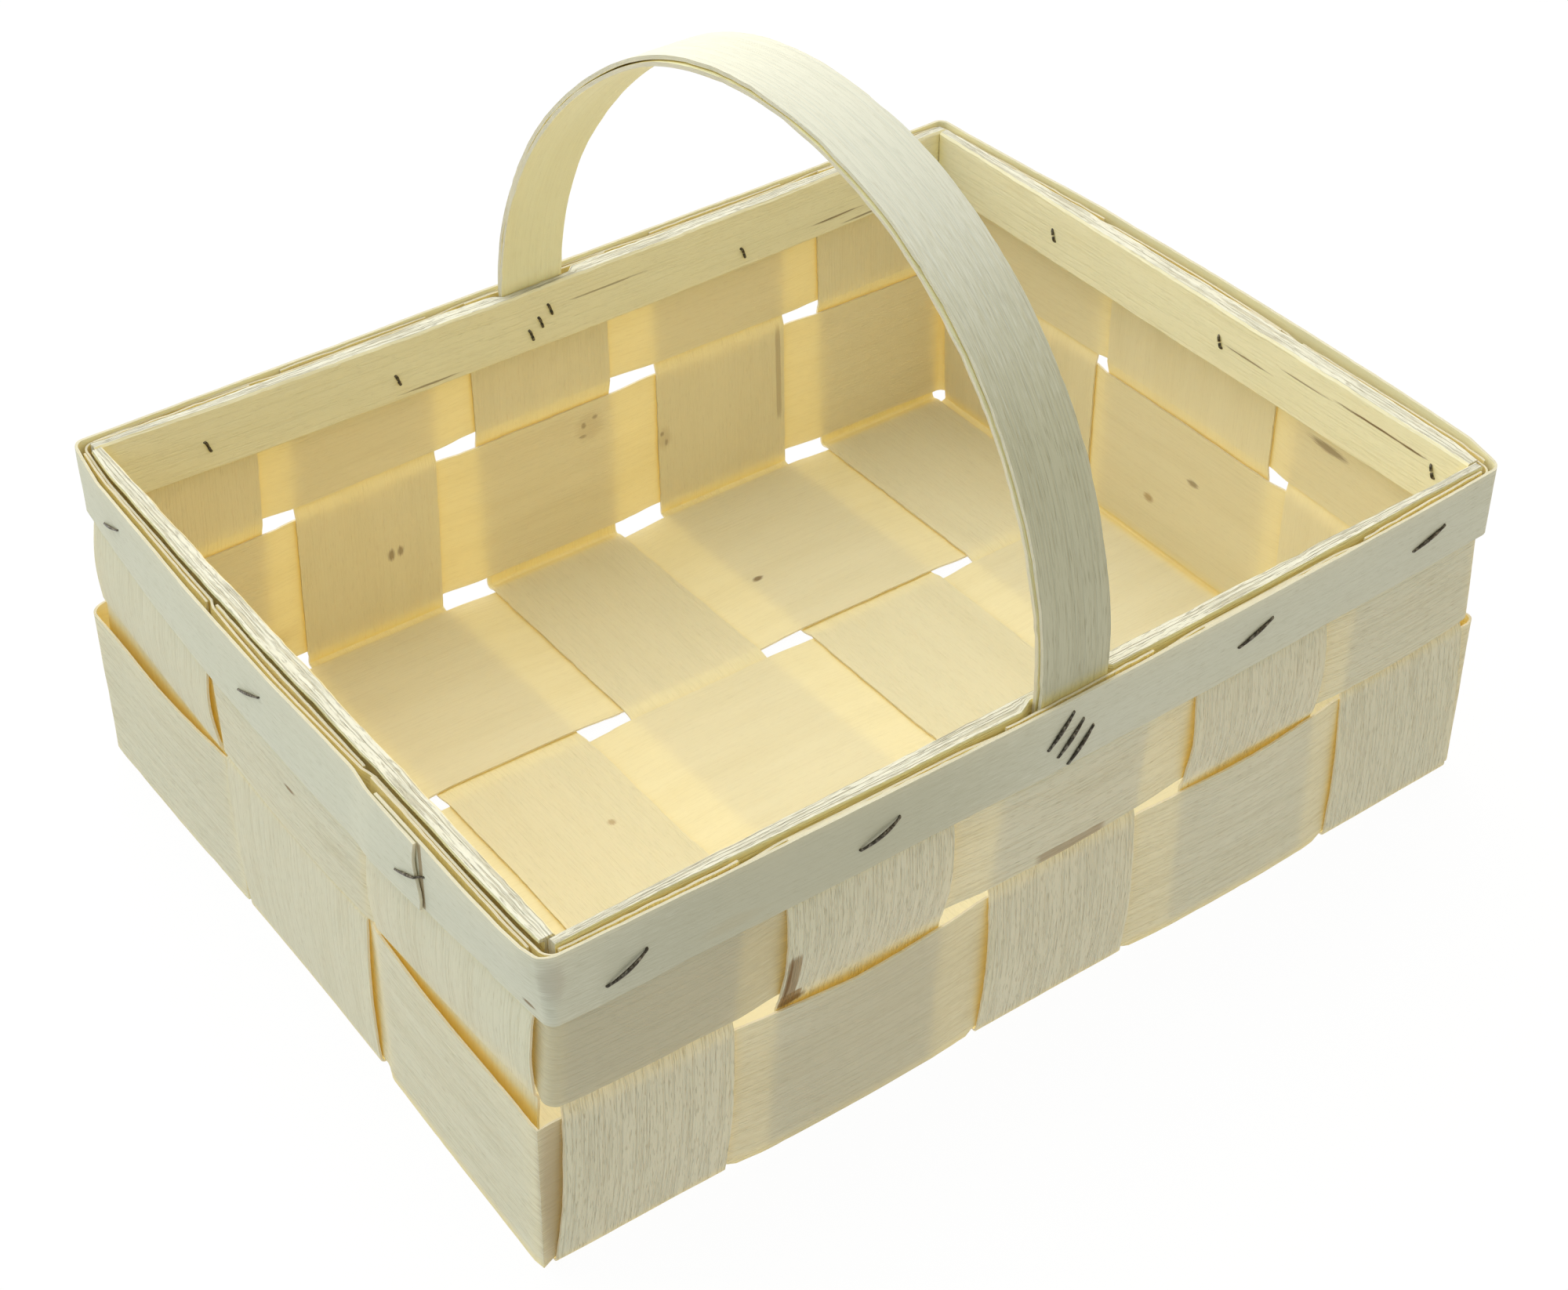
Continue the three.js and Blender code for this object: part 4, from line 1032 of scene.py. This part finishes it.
# Wall, place along it, height of the middle and slope of every staple
for wall, row in {
        "front": [(-173.4, 123.6, 29), (-80.9, 127.2, 22), (78.6, 128.9, 20), (164.4, 127.8, 15)],
        "back": [(-152.6, 125.8, 25), (-73.6, 124.6, 25), (88.0, 122.0, 25), (169.2, 126.0, 25)],
        "left": [(-87.0, 125.6, 25), (14.0, 127.5, 24), (121.8, 127.2, 24)],
        "right": [(-132.5, 130.0, 25), (-22.8, 127.6, 25), (74.2, 127.6, 25)]}.items():
    for k, (place, height, slope) in enumerate(row):
        bow = 1.1 if wall == "front" and k < 2 else 0.35
        r = 0.5 if wall == "left" else 0.62
        staple(f"wire_{wall}_{k + 1}", wall, place, height, slope, bow=bow, r=r)
# Place and height of the handle's staples, which are narrower and steeper
HANDLE_SLOPE, HANDLE_CROWN = 50, 16.5
for end, rows in (("front", [(-8.2, 131.2), (-3.6, 126.0), (1.0, 120.8)]),
                  ("back", [(-5.2, 130.8), (-9.7, 126.5), (-14.2, 122.2)])):
    for k, (place, height) in enumerate(rows):
        staple(f"wire_handle_{end}_{k + 1}", end, place, height, HANDLE_SLOPE, HANDLE_CROWN)


# Floor, light and camera
# The light from each side
SKY_FRONT = (0.5, 0.485, 0.41)
SKY_LEFT = (0.29, 0.46, 0.56)
SKY_RIGHT = (0.95, 0.80, 0.50)
SKY_BACK = (3.0, 2.8, 2.3)
SKY_TOP = (1.23, 1.27, 1.23)
FLOOR_SIZE, FLOOR_DROP, FLOOR_GLOW = 12, 0.0004, 0.95
bpy.ops.mesh.primitive_plane_add(size=FLOOR_SIZE, location=(0, 0, -FLOOR_DROP))
floor = bpy.context.object
floor.name = "floor"
mat = bpy.data.materials.new("pale floor")
mat.use_nodes = True
nt = mat.node_tree
bs = nt.nodes["Principled BSDF"]
bs.inputs["Base Color"].default_value = rgba(0.05, 0.05, 0.05)
bs.inputs["Roughness"].default_value = 0.9
bs.inputs["Specular IOR Level"].default_value = 0.0
bs.inputs["Emission Color"].default_value = rgba(1.0, 1.0, 1.0)
bs.inputs["Emission Strength"].default_value = FLOOR_GLOW
floor.data.materials.append(mat)

world = bpy.data.worlds.new("studio")
bpy.context.scene.world = world
world.use_nodes = True
nt = world.node_tree
way = node(nt, "ShaderNodeTexCoord").outputs["Generated"]


def sky(direction, low, high):
    dot = node(nt, "ShaderNodeVectorMath", {0: way, 1: direction}, operation="DOT_PRODUCT").outputs["Value"]
    return ramp(nt, dot, low, high)


glow_sky = mix_colour(nt, sky((-1.0, 0.0, 0.0), 0.0, 0.9), rgba(*SKY_FRONT), rgba(*SKY_LEFT))
glow_sky = mix_colour(nt, sky((1.0, 0.0, 0.0), 0.0, 0.9), glow_sky, rgba(*SKY_RIGHT))
glow_sky = mix_colour(nt, sky((0.0, 0.97, 0.26), 0.1, 0.9), glow_sky, rgba(*SKY_BACK))
glow_sky = mix_colour(nt, sky((-0.24, 0.33, 0.91), 0.35, 0.92), glow_sky, rgba(*SKY_TOP))
nt.links.new(glow_sky, nt.nodes["Background"].inputs[0])
nt.nodes["Background"].inputs[1].default_value = 1.0


def softbox(name, place, target, size, power):
    light = bpy.data.lights.new(name, "AREA")
    light.shape, light.size, light.size_y = "RECTANGLE", size[0], size[1]
    light.energy = power
    lamp = bpy.data.objects.new(name, light)
    lamp.location = place
    aim = Vector(target) - Vector(place)
    lamp.rotation_euler = aim.to_track_quat("-Z", "Y").to_euler()
    link(lamp)


softbox("key", (-0.2, 0.9, 2.2), (0, 0, 0.05), (1.8, 1.6), 12)

# The camera as fitted to the photo: its place in millimetres, its angles in degrees, and the focal
# length in pixels of a photo that is PHOTO_WIDTH pixels wide
FOCAL, PHOTO_WIDTH, SENSOR = 3601.479, 2000.0, 36.0
CAM = np.array([-487.479, -652.048, 731.963]) + SHIFT
AZ, EL, ROLL = (math.radians(v) for v in (-36.853, 39.718, 0.469))
back = Vector((math.sin(AZ) * math.cos(EL), -math.cos(AZ) * math.cos(EL), math.sin(EL)))
right = (-back).cross(Vector((0, 0, 1))).normalized()
up = right.cross(-back)
right, up = (math.cos(ROLL) * right + math.sin(ROLL) * up,
             -math.sin(ROLL) * right + math.cos(ROLL) * up)
cam = bpy.data.cameras.new("camera")
cam.lens_unit, cam.sensor_fit, cam.sensor_width = "MILLIMETERS", "HORIZONTAL", SENSOR
cam.lens = FOCAL * SENSOR / PHOTO_WIDTH
cam.clip_start, cam.clip_end = 0.05, 30.0
camera = bpy.data.objects.new("camera", cam)
aim = Matrix((right, up, back)).transposed().to_4x4()
camera.matrix_world = Matrix.Translation(Vector(CAM * 0.001)) @ aim
link(camera)
bpy.context.scene.camera = camera
bpy.context.scene.view_settings.view_transform = "Standard"
